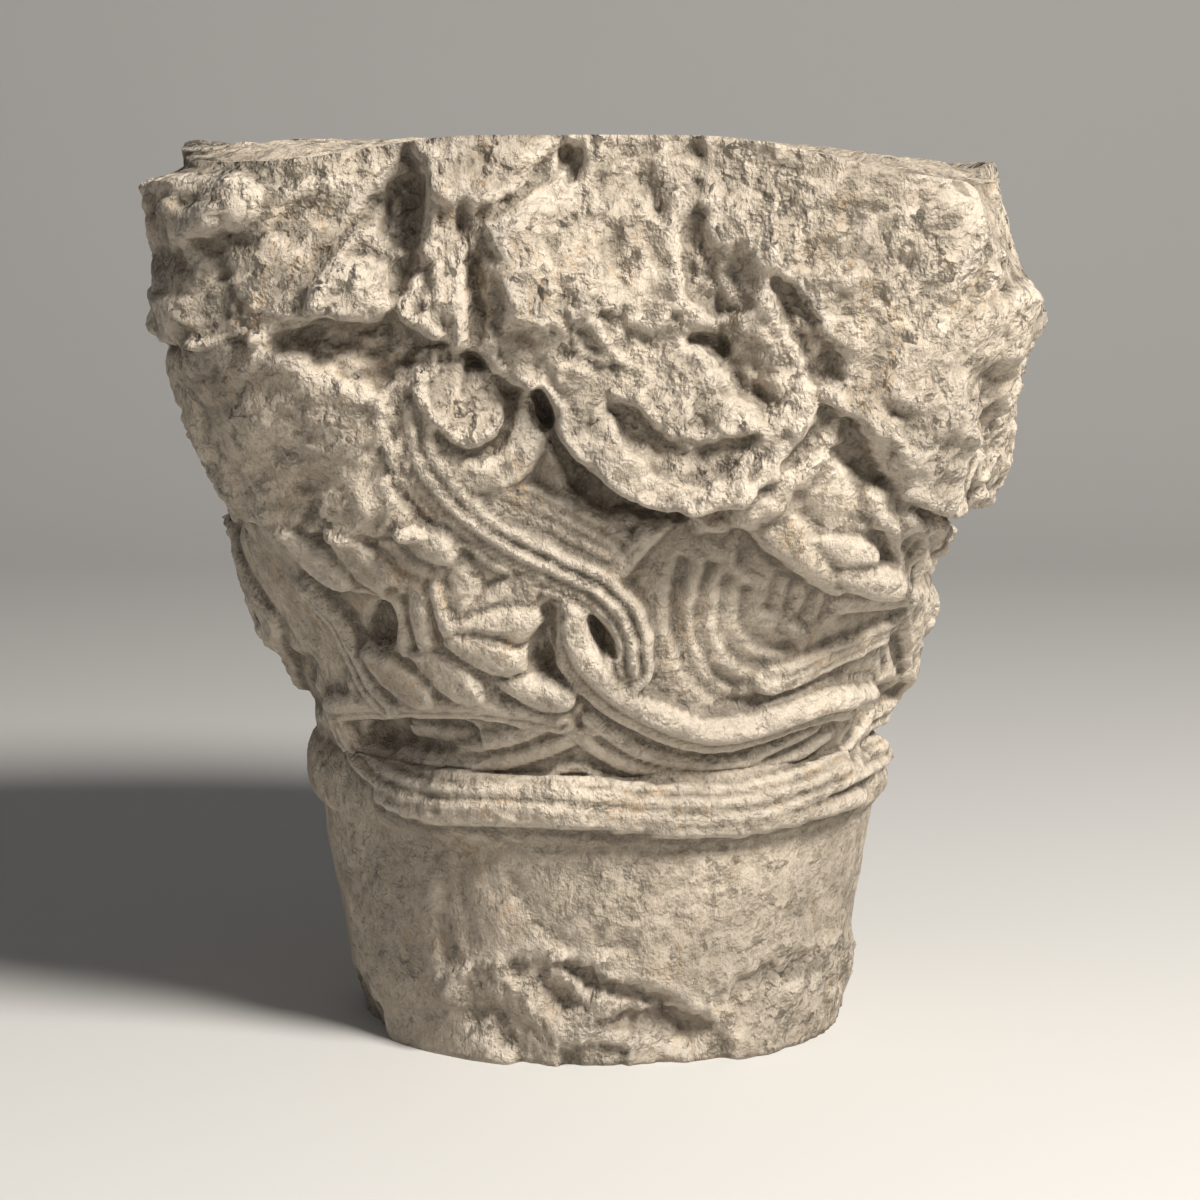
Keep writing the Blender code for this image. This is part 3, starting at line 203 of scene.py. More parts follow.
# Masses and hollows: outline in pixels of the photograph, height in millimetres (negative cuts in), how much
# the height grows over 100 pixels to the right and down, the width of the edge in pixels, and how broken the
# stone is there, from 0 to 1
MASSES = [
    ("fascia", [(60, 100), (60, 150), (165, 170), (240, 176), (280, 186), (330, 176), (372, 178), (374, 100)],
     -3.0, (2.0, 0), 9, 0.3),
    ("left face", [(60, 350), (170, 346), (262, 332), (317, 358), (384, 386), (392, 440), (408, 486),
     (426, 526), (360, 530), (290, 522), (228, 512), (160, 460), (60, 400)],
     6.0, (1.0, -3.0), 14, 0.6),
    ("left limb low", [(60, 392), (150, 400), (196, 430), (232, 470), (262, 520), (60, 560)],
     -5.0, (6.0, -3.0), 30, 0.9),
    ("left shoulder", [(60, 180), (152, 184), (200, 172), (259, 179), (266, 219), (226, 244), (250, 300),
     (256, 324), (215, 336), (60, 345)],
     8.0, (-5.0, -1.0), 10, 1.0),
    ("shoulder fold", [(148, 262), (200, 246), (226, 236), (234, 262), (258, 318), (219, 326), (200, 290)],
     -2.5, (-9.0, 6.0), 8, 1.0),
    ("left slope", [(223, 237), (280, 232), (321, 254), (326, 306), (299, 326), (254, 330), (232, 263)],
     3.0, (6.0, 8.0), 12, 1.0),
    ("recess fan", [(281, 219), (326, 190), (361, 214), (366, 232), (339, 254), (299, 241)],
     -4.0, (8.0, 9.0), 9, 1.0),
    ("left recess", [(343, 237), (370, 228), (397, 250), (417, 241), (421, 188), (397, 178), (372, 196)],
     -7.0, (-5.0, 7.0), 8, 1.0),
    ("left top chip", [(60, 60), (176, 60), (166, 168), (150, 180), (140, 222), (60, 230)],
     -12.0, (0, 0), 22, 0.9),
    ("under the recess", [(397, 262), (428, 259), (424, 308), (397, 299)], -6.0, (0, 0), 8, 0.8),
    ("ball", [(321, 277), (343, 257), (374, 257), (394, 286), (392, 310), (361, 318), (326, 308)],
     10.0, (-6.0, 4.0), 9, 1.0),
    ("ball hollow", [(290, 318), (322, 318), (362, 326), (396, 322), (400, 344), (372, 356), (330, 344),
     (296, 334)],
     -5.0, (0, 0), 9, 1.0),
    ("upper mass", [(428, 176), (424, 60), (1200, 60), (1200, 420), (1005, 450), (978, 486), (962, 508),
     (945, 510), (893, 491), (871, 463), (860, 433), (838, 408), (815, 400), (790, 432), (768, 462),
     (735, 490), (690, 503), (640, 499), (592, 474), (562, 440), (546, 392), (508, 380), (472, 350),
     (441, 338), (408, 322), (398, 294), (420, 262)],
     10.0, (0, 0), 8, 0.9),
    ("top remnant", [(430, 100), (426, 172), (440, 200), (490, 200), (524, 182), (552, 152), (560, 100)],
     -1.0, (-4.0, 12.0), 8, 1.0),
    ("boss crown", [(492, 214), (556, 196), (640, 190), (680, 240), (690, 300), (640, 330), (560, 330),
     (505, 310)],
     5.0, (-3.0, 3.0), 26, 0.9),
    ("boss left side", [(436, 214), (486, 216), (500, 250), (494, 340), (450, 334), (430, 300)],
     -3.0, (6.0, 0), 10, 0.9),
    ("left ridge", [(446, 262), (460, 262), (464, 340), (450, 342)], 3.0, (0, 0), 6, 0.8),
    ("left groove", [(466, 262), (480, 258), (484, 300), (482, 340), (470, 338)], -2.5, (0, 0), 6, 0.8),
    ("boss facet", [(599, 313), (621, 313), (671, 352), (693, 408), (665, 402), (632, 363)],
     -1.5, (5.0, 3.0), 7, 0.8),
    ("pendant hollow", [(610, 402), (643, 408), (665, 430), (700, 436), (754, 426), (727, 463), (671, 474),
     (632, 445)],
     -3.5, (0.0, 6.0), 12, 0.4),
    ("yoke", [(546, 388), (570, 400), (610, 440), (655, 468), (700, 474), (742, 458), (770, 440), (768, 462),
     (735, 490), (690, 503), (640, 499), (592, 474), (562, 440)],
     4.0, (0, 0), 10, 0.3),
    ("yoke foot", [(684, 500), (704, 478), (748, 446), (784, 418), (806, 400), (836, 424), (806, 462),
     (770, 498), (736, 520), (704, 530)],
     7.0, (0, 0), 24, 0.3),
    ("right facet upper", [(685, 241), (699, 205), (743, 222), (774, 247), (774, 272), (732, 313),
     (693, 297)],
     -3.0, (10.0, -6.0), 7, 0.9),
    ("right facet lower", [(721, 319), (771, 288), (785, 319), (799, 369), (782, 397), (743, 391), (721, 363),
     (691, 336)],
     -4.0, (8.0, -8.0), 7, 1.0),
    ("right rift", [(772, 276), (796, 286), (810, 310), (820, 332), (838, 354), (830, 376), (806, 374),
     (800, 350), (784, 322)],
     -8.0, (6.0, 0), 5, 1.0),
    ("rift ledge", [(792, 312), (808, 318), (822, 340), (816, 350), (800, 338)], 4.0, (0, 0), 5, 1.0),
    ("right recess cut", [(691, 333), (721, 336), (727, 352), (710, 352)], -7.0, (0, 0), 5, 1.0),
    ("right ramp", [(827, 380), (838, 408), (806, 424), (777, 448), (750, 466), (742, 458), (777, 420),
     (799, 398)],
     -3.0, (9.0, -6.0), 7, 1.0),
    ("right top chip", [(925, 60), (936, 150), (968, 215), (995, 280), (1200, 300), (1200, 60)],
     -18.0, (-4.0, 16.0), 40, 1.0),
    ("right limb", [(975, 345), (1200, 330), (1200, 580), (930, 580), (950, 500), (965, 430)],
     -10.0, (0, -4.0), 44, 1.0),
    ("right flank", [(890, 525), (905, 600), (895, 665), (1100, 665), (1100, 525)], -5.0, (0, 0), 24, 0.3),
    ("right low flank", [(860, 690), (850, 730), (852, 762), (1000, 765), (1000, 690)],
     -6.0, (0, 0), 20, 0.3),
    ("left low flank", [(60, 640), (290, 650), (312, 690), (306, 716), (60, 730)], -6.0, (0, 0), 16, 0.3),
    ("right cluster back", [(862, 486), (882, 476), (908, 504), (944, 520), (966, 530), (952, 560),
     (926, 580), (902, 592), (890, 580), (884, 546), (866, 514)],
     8.0, (4.0, -4.0), 8, 0.5),
    ("boss crevice", [(478, 210), (500, 200), (524, 184), (550, 150), (572, 150), (560, 176), (534, 190),
     (514, 206), (490, 218)],
     -5.0, (0, 0), 7, 1.0),
    ("crevice wedge", [(560, 150), (582, 152), (574, 180), (562, 174)], -6.0, (0, 0), 5, 1.0),
    ("left oval", [(414, 352), (441, 343), (472, 362), (502, 392), (504, 423), (481, 444), (450, 437),
     (424, 400)],
     5.0, (-2.0, 3.0), 7, 1.0),
    ("boss slot", [(531, 394), (540, 385), (549, 396), (555, 416), (547, 426), (536, 414)],
     -12.0, (0, 0), 7, 0.0),
    ("yoke shadow", [(552, 430), (574, 454), (596, 464), (616, 488), (650, 504), (684, 510), (682, 522),
     (640, 520), (600, 510), (576, 494), (560, 466)],
     -8.0, (0, 0), 7, 0.0),
    ("hook pocket", [(590, 612), (602, 622), (614, 640), (614, 652), (604, 648), (592, 628)],
     -8.0, (0, 0), 5, 0.0),
    ("palmette hollow", [(372, 615), (385, 598), (400, 605), (401, 636), (386, 642), (374, 634)],
     -5.0, (0, 0), 6, 0.0),
    ("stem pocket", [(545, 605), (556, 606), (556, 660), (535, 664), (528, 652)], -6.0, (0, 0), 7, 0.0),
    ("low pocket", [(366, 726), (400, 718), (455, 724), (482, 742), (440, 752), (400, 752), (378, 745)],
     -7.0, (0, 0), 9, 0.0),
    ("fan pit", [(778, 622), (800, 618), (812, 628), (800, 638), (780, 636)], -3.5, (0, 0), 6, 1.0),
    ("foot break", [(430, 985), (470, 965), (560, 955), (600, 972), (640, 996), (684, 1008), (716, 1030),
     (734, 1056), (705, 1110), (560, 1110), (500, 1044), (456, 1012)],
     -3.5, (0, -3.0), 9, 1.0),
    ("foot pocket high", [(556, 962), (600, 972), (650, 992), (688, 1004), (650, 1010), (600, 994),
     (566, 978)],
     -6.0, (0, 0), 7, 1.0),
    ("foot pocket middle", [(596, 1026), (650, 1014), (702, 1018), (712, 1036), (670, 1044), (630, 1036)],
     -6.0, (0, 0), 7, 1.0),
    ("foot pocket low", [(560, 1054), (600, 1044), (630, 1058), (610, 1090), (570, 1090)],
     -5.0, (0, 0), 6, 1.0),
    ("foot chip left", [(300, 958), (356, 975), (372, 1000), (384, 1030), (370, 1060), (300, 1060)],
     -6.0, (0, 0), 12, 1.0),
    ("right foot wear", [(700, 1000), (800, 940), (1000, 930), (1000, 1100), (740, 1100)],
     -1.0, (0, 0), 30, 0.8),
]

# The plain sides and back: two strands weave round the bell, with a leaf in each eye between them. The arc is
# in degrees round from the front, and the level and the rise are shares of the height.
WEAVE_ARC = (66.0, 294.0)
WEAVE_LEVEL = 0.475
WEAVE_RISE = 0.085
WEAVE_EYES = 5
WEAVE_HALF_WIDTH = 7.5 * MM
WEAVE_HEIGHT = 6.0 * MM
# An eye's leaf, lobe by lobe: its lean in degrees, and its length against the room in the eye
EYE_LEAVES = [(-62, 0.75), (62, 0.75), (-32, 0.95), (32, 0.95), (0, 1.05)]
EYE_LEAF_HEIGHT = 4.5 * MM
WEAVE_GROOVES = [-0.3, 0.3]

# The hidden faces' broken tops: heights, and the shares of the block's height over which they begin
CORNER_MASS = 8.0 * MM
CORNER_FROM = (0.555, 0.585)
FACE_BOSS = 10.0 * MM
BOSS_FROM = (0.66, 0.72)
BOSS_WORN_FROM = (0.85, 0.97)

# A strap's edge, the crown over it and its grooves' depth, as shares of its height
STRAP_EDGE = 0.42
STRAP_CROWN = 0.58
GROOVE_DEPTH = 0.42
# Half the width of a groove
GROOVE_WIDTH = 1.35 * MM
# How deep the line round a leaf is sunk
LEAF_LINE = 1.6 * MM

# Across which a carved edge wavers, and the stone swells, pits, breaks, chips and splinters
WAVER = 7.0 * MM
FINE_WAVER = 3.0 * MM
BROAD_SWELL = 34.0 * MM
SMALL_SWELL = 13.0 * MM
PIT = 5.0 * MM
FINE_PIT = 2.6 * MM
RAGGED_EDGE = 10.0 * MM
LARGE_FACE = 34.0 * MM
LARGE_CREST = 26.0 * MM
CHIP = 12.0 * MM
CHIP_CREST = 10.0 * MM
SPLINTER = 5.5 * MM

# How the faces and crests of a break are bent: the bends' length, and how far they push
FACE_BEND = (14.0 * MM, 6.0 * MM)
CREST_BEND = (12.0 * MM, 5.0 * MM)
CHIP_BEND = (6.0 * MM, 2.2 * MM)
CHIP_CREST_BEND = (5.0 * MM, 2.0 * MM)

# How deep they are, counted in MM
LARGE_FACE_DEPTH = 11.0
LARGE_CREST_DEPTH = 1.8
CHIP_DEPTH = 4.8
SPLINTER_DEPTH = 2.4
SPLINTER_CREST_DEPTH = 0.5

# How much a hollow's depth darkens it with soiling and painted shade, and a crest's height lightens it with
# wear and a painted highlight: the depth that counts as full, in broad hollows and in the carving
BROAD_HOLLOW = 2.8 * MM
CARVED_HOLLOW = 0.9 * MM

# How fine the marble's patterns are, as scales of noise
PATCHES, BLUSH, STAINS, STAINED_PLACES = 19, 45, 60, 28
CRUMBS, SPLINTERS, GRAINS, SHEEN = 170, 420, 900, 130
BROAD_FLAKES, FINE_FLAKES, FLAKE_SWAY = 75, 230, 110
# How far up the neck the painted shade reaches, a patchy grey that darkens the stone towards its foot
FOOT_SHADE_LEVEL = 0.26 * HEIGHT

# Lights: turn from the camera's side and lift, in degrees, distance and size in metres, and colour
KEY_LIGHT = (38, 42, 2.2, 0.6, (1.0, 0.965, 0.91))
FILL_LIGHT = (-60, 20, 2.5, 1.5, (0.93, 0.96, 1.0))
ROOM_COLOUR = (0.9, 0.92, 1.0, 1.0)

# The floor: how far it goes behind the block and before it, its bend up into the wall, and the wall's size
FLOOR_DEPTH = 1.5
FLOOR_FRONT = 4.0
FLOOR_BEND = 1.0
WALL_HEIGHT = 4.0
WALL_HALF_WIDTH = 5.0
BEND_STEPS = 12


class CapitalStone(bpy.types.PropertyGroup):
    """Sizes of the block and of its wear."""

    foot_radius: FloatProperty(
        name="Foot radius", description="Radius of the neck at its foot", default=0.0975, unit="LENGTH"
    )
    neck_radius: FloatProperty(
        name="Neck radius", description="Radius of the neck under the ring", default=0.1075, unit="LENGTH"
    )
    ring_radius: FloatProperty(
        name="Ring radius", description="Outer radius of the ring", default=0.1165, unit="LENGTH"
    )
    ring_thickness: FloatProperty(
        name="Ring thickness", description="Height of the ring", default=0.026, unit="LENGTH"
    )
    top_half_width: FloatProperty(
        name="Top half width", description="Half the width of the square top", default=0.161, unit="LENGTH"
    )
    fracture: FloatProperty(
        name="Fracture", description="How deep the broken faces are cut", default=1.0, min=0.0, max=3.0
    )
    wear: FloatProperty(
        name="Wear", description="How uneven the carved faces are", default=1.0, min=0.0, max=3.0
    )
    columns: IntProperty(
        name="Columns", description="Faces round the block", default=404, min=60, max=480
    )
    wall_rows: IntProperty(
        name="Wall rows", description="Rows of faces up the wall", default=222, min=40, max=260
    )
    cap_rings: IntProperty(
        name="Cap rings", description="Rings of faces in the top", default=16, min=3, max=40
    )


class CapitalFinish(bpy.types.PropertyGroup):
    """Colours and grain of the marble."""

    cream: FloatVectorProperty(
        name="Cream", description="Colour of the clean stone", subtype="COLOR", size=4,
        default=(0.60, 0.513, 0.41, 1.0),
    )
    grey: FloatVectorProperty(
        name="Grey", description="Colour of the weathered patches", subtype="COLOR", size=4,
        default=(0.37, 0.317, 0.255, 1.0),
    )
    # Painted shade in the fine grain's low pits, partly the stone's own darker grains
    shade: FloatVectorProperty(
        name="Shade", description="Colour of the stone's low grains", subtype="COLOR", size=4,
        default=(0.21, 0.175, 0.125, 1.0),
    )
    # Wear and painted highlight: this colour lightens the crests, partly as rubbed stone and partly as a
    # painted highlight
    worn: FloatVectorProperty(
        name="Worn edges", description="Colour of the stone where it is rubbed", subtype="COLOR", size=4,
        default=(0.74, 0.655, 0.55, 1.0),
    )
    rust: FloatVectorProperty(
        name="Rust", description="Colour of the thin stains", subtype="COLOR", size=4,
        default=(0.40, 0.245, 0.11, 1.0),
    )
    # Soiling and painted shade together: this colour darkens the hollows and grooves, partly as real soiling
    # and partly as painted shade where shadow falls
    dirt_and_shade: FloatVectorProperty(
        name="Dirt", description="Colour of the dirt in the hollows", subtype="COLOR", size=4,
        default=(0.105, 0.088, 0.066, 1.0),
    )
    roughness: FloatProperty(
        name="Roughness", description="Roughness of the unpolished stone", default=0.82, min=0.0, max=1.0
    )
    grain_depth: FloatProperty(
        name="Grain depth", description="Depth of the fine grain", default=0.0045, unit="LENGTH"
    )


class CapitalStage(bpy.types.PropertyGroup):
    """Floor, lights and camera."""

    floor: FloatVectorProperty(
        name="Floor", description="Colour of the floor", subtype="COLOR", size=4,
        default=(0.62, 0.61, 0.59, 1.0),
    )
    key_power: FloatProperty(
        name="Key light", description="Power of the main light", default=83.0, unit="POWER"
    )
    fill_power: FloatProperty(
        name="Fill light", description="Power of the fill light", default=2.5, unit="POWER"
    )
    sky: FloatProperty(
        name="Room light", description="Strength of the even light", default=0.09, min=0.0
    )
    eye_distance: FloatProperty(
        name="Camera distance", description="From the camera to the block's axis", default=EYE_DISTANCE,
        unit="LENGTH",
    )


def blend(value, low, high):
    """0 below low, 1 above high, and a smooth rise between them."""
    share = np.clip((value - low) / (high - low), 0.0, 1.0)
    return share * share * (3.0 - 2.0 * share)


def read_curve(points, at):
    """A smooth curve through (where, value) points, read at an array of places."""
    xs = np.array([p[0] for p in points])
    ys = np.array([p[1] for p in points])
    rise = np.diff(ys) / np.diff(xs)
    inner = np.where(rise[:-1] * rise[1:] > 0, rise[:-1] * rise[1:] / (rise[:-1] + rise[1:] + 1e-12), 0)
    slopes = np.concatenate([rise[:1], 2 * inner, rise[-1:]])
    at = np.clip(at, xs[0], xs[-1])
    k = np.clip(np.searchsorted(xs, at, side="right") - 1, 0, len(xs) - 2)
    step = xs[k + 1] - xs[k]
    t = (at - xs[k]) / step
    return (
        (2 * t**3 - 3 * t**2 + 1) * ys[k]
        + (t**3 - 2 * t**2 + t) * step * slopes[k]
        + (3 * t**2 - 2 * t**3) * ys[k + 1]
        + (t**3 - t**2) * step * slopes[k + 1]
    )


def smooth_route(points, closed=False, steps=14):
    """Catmull-Rom samples through a route's points."""
    pts = np.array(points, float)
    if closed:
        pts = np.vstack([pts[-1], pts, pts[0], pts[1]])
    else:
        pts = np.vstack([2 * pts[0] - pts[1], pts, 2 * pts[-1] - pts[-2]])
    samples = []
    t = np.linspace(0, 1, steps, endpoint=False)[:, None]
    for a, b, c, d in zip(pts[:-3], pts[1:-2], pts[2:-1], pts[3:]):
        samples.append(
            0.5 * (2 * b + (c - a) * t + (2 * a - 5 * b + 4 * c - d) * t**2 + (3 * b - a - 3 * c + d) * t**3)
        )
    if not closed:
        samples.append(pts[-2][None])
    return np.vstack(samples)


def scatter(cells, salt):
    """A number from 0 to 1 for each whole-numbered cell, the same every time."""
    mixed = np.sin(cells @ np.array([127.1, 311.7, 74.7]) + 19.19 * salt) * 43758.5453
    return mixed - np.floor(mixed)


def lumps(places, size, salt=0):
    """Smooth noise from about -1 to 1 whose lumps are about this size."""
    q = places / size
    cell = np.floor(q)
    t = q - cell
    fade = t * t * t * (t * (t * 6 - 15) + 10)
    total = np.zeros(len(q))
    for corner in np.ndindex(2, 2, 2):
        corner = np.array(corner, float)
        weight = np.prod(np.where(corner > 0, fade, 1 - fade), axis=-1)
        slope = np.stack([scatter(cell + corner, salt + k) for k in range(3)], -1) * 2 - 1
        total += weight * (slope * (t - corner)).sum(-1)
    return 1.6 * total


def facets(places, size, salt=0):
    """Broken stone: flat faces at odd tilts that meet in creases, each about this size across."""
    q = places / size
    cell = np.floor(q)
    out = np.full(len(q), -np.inf)
    for step in np.ndindex(3, 3, 3):
        here = cell + np.array(step) - 1.0
        away = q - here - np.stack([scatter(here, salt + k) for k in range(3)], -1)
        tilt = np.stack([scatter(here, salt + 3 + k) for k in range(3)], -1) * 2 - 1
        level = 0.7 * (away * tilt).sum(-1) + 0.6 * scatter(here, salt + 6)
        out = np.maximum(out, level - 0.9 * np.sqrt((away**2).sum(-1)))
    return out


def stretched(places, direction, factor):
    """Places drawn together along a direction, so that noise read there is long that way."""
    direction = np.array(direction) / np.linalg.norm(direction)
    return places - np.outer(places @ direction, direction) * (1 - 1 / factor)


def signed_distance(points, loop):
    """Distance to a closed loop in the plane, positive inside it."""
    nearest = np.full(len(points), np.inf)
    inside = np.zeros(len(points), bool)
    for a, b in zip(loop, np.roll(loop, -1, axis=0)):
        side = b - a
        t = np.clip(((points - a) @ side) / max(side @ side, 1e-9), 0, 1)
        nearest = np.minimum(nearest, ((points - a - t[:, None] * side) ** 2).sum(-1))
        crosses = (a[1] > points[:, 1]) != (b[1] > points[:, 1])
        rise = side[1] if abs(side[1]) > 1e-9 else 1e-9
        inside ^= crosses & (points[:, 0] < a[0] + (points[:, 1] - a[1]) * side[0] / rise)
    return np.where(inside, 1.0, -1.0) * np.sqrt(nearest)


class Blank:
    """The uncarved block: a round neck and ring, and a bell that grows into a rounded square."""

    def __init__(self, size):
        self.size = size

    def radius(self, angle, height):
        """Distance from the axis to the wall. Angle 0 is the front, in radians."""
        size = self.size
        share = height / HEIGHT
        half_width = size.neck_radius + (size.top_half_width - size.neck_radius) * read_curve(FLARE, share)
        taper = blend(RING_LEVEL - share, 0.0, RING_LEVEL)
        half_width = half_width - (size.neck_radius - size.foot_radius) * taper
        across = (share - RING_LEVEL) * HEIGHT / (size.ring_thickness / 2)
        ring = np.sqrt(np.clip(1.0 - across**2, 0.0, 1.0))
        half_width = half_width + np.clip(size.ring_radius - half_width, 0.0, None) * ring
        power = read_curve(SQUARING, share)
        plan = (np.abs(np.cos(angle)) ** power + np.abs(np.sin(angle)) ** power) ** (-1.0 / power)
        hollow = 1.0 - HOLLOWING * blend(share, *HOLLOWED_FROM) * np.cos(2 * angle) ** 2
        return half_width * plan * hollow

    def point(self, angle, height):
        """The wall's place at arrays of angles and heights."""
        r = self.radius(angle, height)
        return np.stack([r * np.sin(angle), -r * np.cos(angle), height], -1)

    def normal(self, angle, height):
        """The wall's outward direction, from its slopes."""
        small_turn, small_rise = 0.01, 2.0 * MM
        round_it = self.point(angle + small_turn, height) - self.point(angle - small_turn, height)
        up_it = self.point(angle, height + small_rise) - self.point(angle, height - small_rise)
        normal = np.cross(round_it, up_it)
        return normal / np.linalg.norm(normal, axis=-1, keepdims=True)

    def under_pixels(self, pixels):
        """The wall's places under pixels of the photograph. A pixel beside the stone lands on its edge."""
        eye, right, up, forward = eye_axes()
        px = np.atleast_2d(np.array(pixels, float))
        rays = (
            forward
            + (px[:, :1] - PHOTO_CENTRE[0]) / FOCAL * right
            + (PHOTO_CENTRE[1] - px[:, 1:]) / FOCAL * up
        )
        reach = np.linspace(EYE_DISTANCE - 0.75 * HEIGHT, EYE_DISTANCE + 0.06 * HEIGHT, 421)
        places = eye + rays[:, None, :] * reach[None, :, None]
        angle = np.arctan2(places[..., 0], -places[..., 1])
        height = np.clip(places[..., 2], 0.0, HEIGHT)
        outside = np.hypot(places[..., 0], places[..., 1]) - self.radius(angle, height)
        hit = outside <= 0
        first = np.where(hit.any(1), hit.argmax(1), outside.argmin(1))
        row = np.arange(len(px))
        return self.point(angle[row, first], height[row, first])

    def bed_height(self, angle, share):
        """The top's height at shares of the way from the axis to its edge: flat, and worn at the edge."""
        reach = share * self.radius(angle, np.full(len(angle), HEIGHT))
        corner = self.radius(np.array([math.pi / 4]), np.array([HEIGHT]))[0]
        at_corner = blend(reach / corner, BED_SHARE, 1.0)
        at_right = blend(reach * np.sin(angle) / self.size.top_half_width, 0.15, 1.0)
        return HEIGHT * (1 - CORNER_DROP * at_corner - RIGHT_DROP * at_right)


def eye_axes():
    """The station point and its right, up and forward directions."""
    forward = np.array([0.0, math.cos(EYE_PITCH), -math.sin(EYE_PITCH)])
    up = np.array([0.0, math.sin(EYE_PITCH), math.cos(EYE_PITCH)])
    return np.array([0.0, -EYE_DISTANCE, EYE_HEIGHT]), np.array([1.0, 0.0, 0.0]), up, forward


def photo_pixel(places):
    """Where places on the stone fall in the photograph."""
    eye, right, up, forward = eye_axes()
    rel = places - eye
    depth = rel @ forward
    return np.stack(
        [PHOTO_CENTRE[0] + FOCAL * (rel @ right) / depth, PHOTO_CENTRE[1] - FOCAL * (rel @ up) / depth], -1
    )


class Stone:
    """The block while it is carved: places on the uncarved wall, and the relief's height over each."""

    def __init__(self, blank, angle, height):
        self.blank = blank
        self.angle = angle
        self.share = height / HEIGHT
        self.places = blank.point(angle, height)
        self.normals = blank.normal(angle, height)
        self.relief = np.zeros(len(angle))
        self.broken = np.zeros(len(angle))
        self.pixels = photo_pixel(self.places)
        self.wobble = lumps(self.places, WAVER, 41) + 0.5 * lumps(self.places, FINE_WAVER, 43)
        sight = eye_axes()[0] - self.places
        sight /= np.linalg.norm(sight, axis=1, keepdims=True)
        self.seen = blend((sight * self.normals).sum(-1), -0.4, -0.05)

    def near(self, path, reach):
        """The points of the wall within reach of a path's box."""
        low, high = path.min(0) - reach, path.max(0) + reach
        return np.flatnonzero(((self.places >= low) & (self.places <= high)).all(1))

    def along(self, path, reach):
        """Which points lie near a path, how far along it they are, and their signed distance to its side."""
        chosen = self.near(path, reach)
        rel = self.places[chosen][:, None, :] - path[None]
        nearest = (rel**2).sum(-1).argmin(1)
        tangent = np.gradient(path, axis=0)
        tangent /= np.linalg.norm(tangent, axis=1, keepdims=True)
        rel = rel[np.arange(len(chosen)), nearest]
        t = tangent[nearest]
        ahead = (rel * t).sum(-1)
        past_end = ((nearest == 0) & (ahead < 0)) | ((nearest == len(path) - 1) & (ahead > 0))
        rel_side = rel - ahead[:, None] * t
        side = (np.cross(t, self.normals[chosen]) * rel_side).sum(-1)
        distance = np.where(past_end, np.linalg.norm(rel, axis=1), np.linalg.norm(rel_side, axis=1))
        return chosen, nearest / (len(path) - 1), np.copysign(distance, side)

    def lay_strap(self, path, half_width, height, grooves):
        """A raised band with rounded edges and grooves that run along it."""
        chosen, _, side = self.along(path, half_width * 1.6)
        q = side / half_width + 0.07 * self.wobble[chosen]
        body = np.sqrt(np.clip(1.0 - np.abs(q) ** 3.2, 0.0, 1.0))
        profile = height * (STRAP_EDGE + STRAP_CROWN * body) * (1 + 0.06 * self.wobble[chosen])
        for groove in grooves:
            across = (q - groove) * half_width / GROOVE_WIDTH
            profile = profile - GROOVE_DEPTH * height * np.exp(-(across**2))
        mask = 1.0 - blend(np.abs(q), 0.88, 1.08)
        self.relief[chosen] = self.relief[chosen] * (1 - mask) + profile * mask
        self.broken[chosen] *= 1 - 0.8 * mask

    def lay_leaf(self, root, tip, width, height):
        """A domed lobe between two places, with a full round tip and a sunk line round its edge."""
        length = np.linalg.norm(tip - root)
        chosen = self.near(np.array([root, tip]), width)
        rel = self.places[chosen] - root
        along = (tip - root) / length
        side_way = np.cross(along, self.normals[chosen])
        side_way /= np.linalg.norm(side_way, axis=1, keepdims=True)
        u = (rel @ along) / length
        v = (rel * side_way).sum(-1)
        fullness = np.clip(4 * u * (1 - u), 0.0, 1.0) ** 0.5 * (0.75 + 0.35 * np.clip(u, 0, 1))
        q = np.abs(v) / np.maximum(width / 2 * fullness, 1e-5) + 0.05 * self.wobble[chosen]
        inside = (u > 0) & (u < 1)
        mask = np.where(inside, 1.0 - blend(q, 0.84, 1.04), 0.0)
        edge = np.where(inside, np.exp(-(((q - 1.08) / 0.1) ** 2)), 0.0)
        dome = height * (0.4 + 0.5 * np.sqrt(np.clip(1 - q**3, 0, 1)) + 0.2 * np.clip(u, 0, 1))
        self.relief[chosen] = self.relief[chosen] * (1 - mask) + dome * mask - LEAF_LINE * edge
        self.broken[chosen] *= 1 - 0.7 * mask

    def cut_line(self, path, half_width, depth):
        """A groove with one steep and one soft side."""
        chosen, share, side = self.along(path, half_width * 5)
        side = side + 0.3 * half_width * self.wobble[chosen]
        steep = np.where(side > 0, side / half_width, side / (2.6 * half_width))
        fade = blend(share, 0.0, 0.08) * (1 - blend(share, 0.92, 1.0))
        self.relief[chosen] -= depth * np.exp(-(steep**2)) * fade

    def add_mass(self, outline, height, tilt, edge, brokenness):
        """Raises or sinks what lies inside an outline drawn on the photograph, with a ragged edge."""
        loop = smooth_route(outline, closed=True, steps=6)
        low, high = loop.min(0) - 2 * edge, loop.max(0) + 2 * edge
        inside_box = ((self.pixels >= low) & (self.pixels <= high)).all(1)
        chosen = np.flatnonzero(inside_box & (self.seen > 0))
        ragged = 0.6 * lumps(self.places[chosen], RAGGED_EDGE, 7) + 0.5 * self.wobble[chosen]
        wander = (0.5 * edge + 4 * brokenness) * ragged
        depth_in = signed_distance(self.pixels[chosen], loop) + wander
        mask = blend(depth_in, -0.5 * edge, 0.5 * edge) * self.seen[chosen]
        on_stone = np.clip(loop, *STONE_PIXELS)
        middle = (on_stone.min(0) + on_stone.max(0)) / 2
        reach = np.clip(self.pixels[chosen] - middle, -TILT_REACH, TILT_REACH)
        self.lift(chosen, mask, height + reach @ tilt, brokenness)

    def lift(self, chosen, mask, height, brokenness):
        """Adds a height under a mask, and says how broken the stone is there."""
        self.relief[chosen] += height * mask
        self.broken[chosen] = self.broken[chosen] * (1 - mask) + brokenness * mask


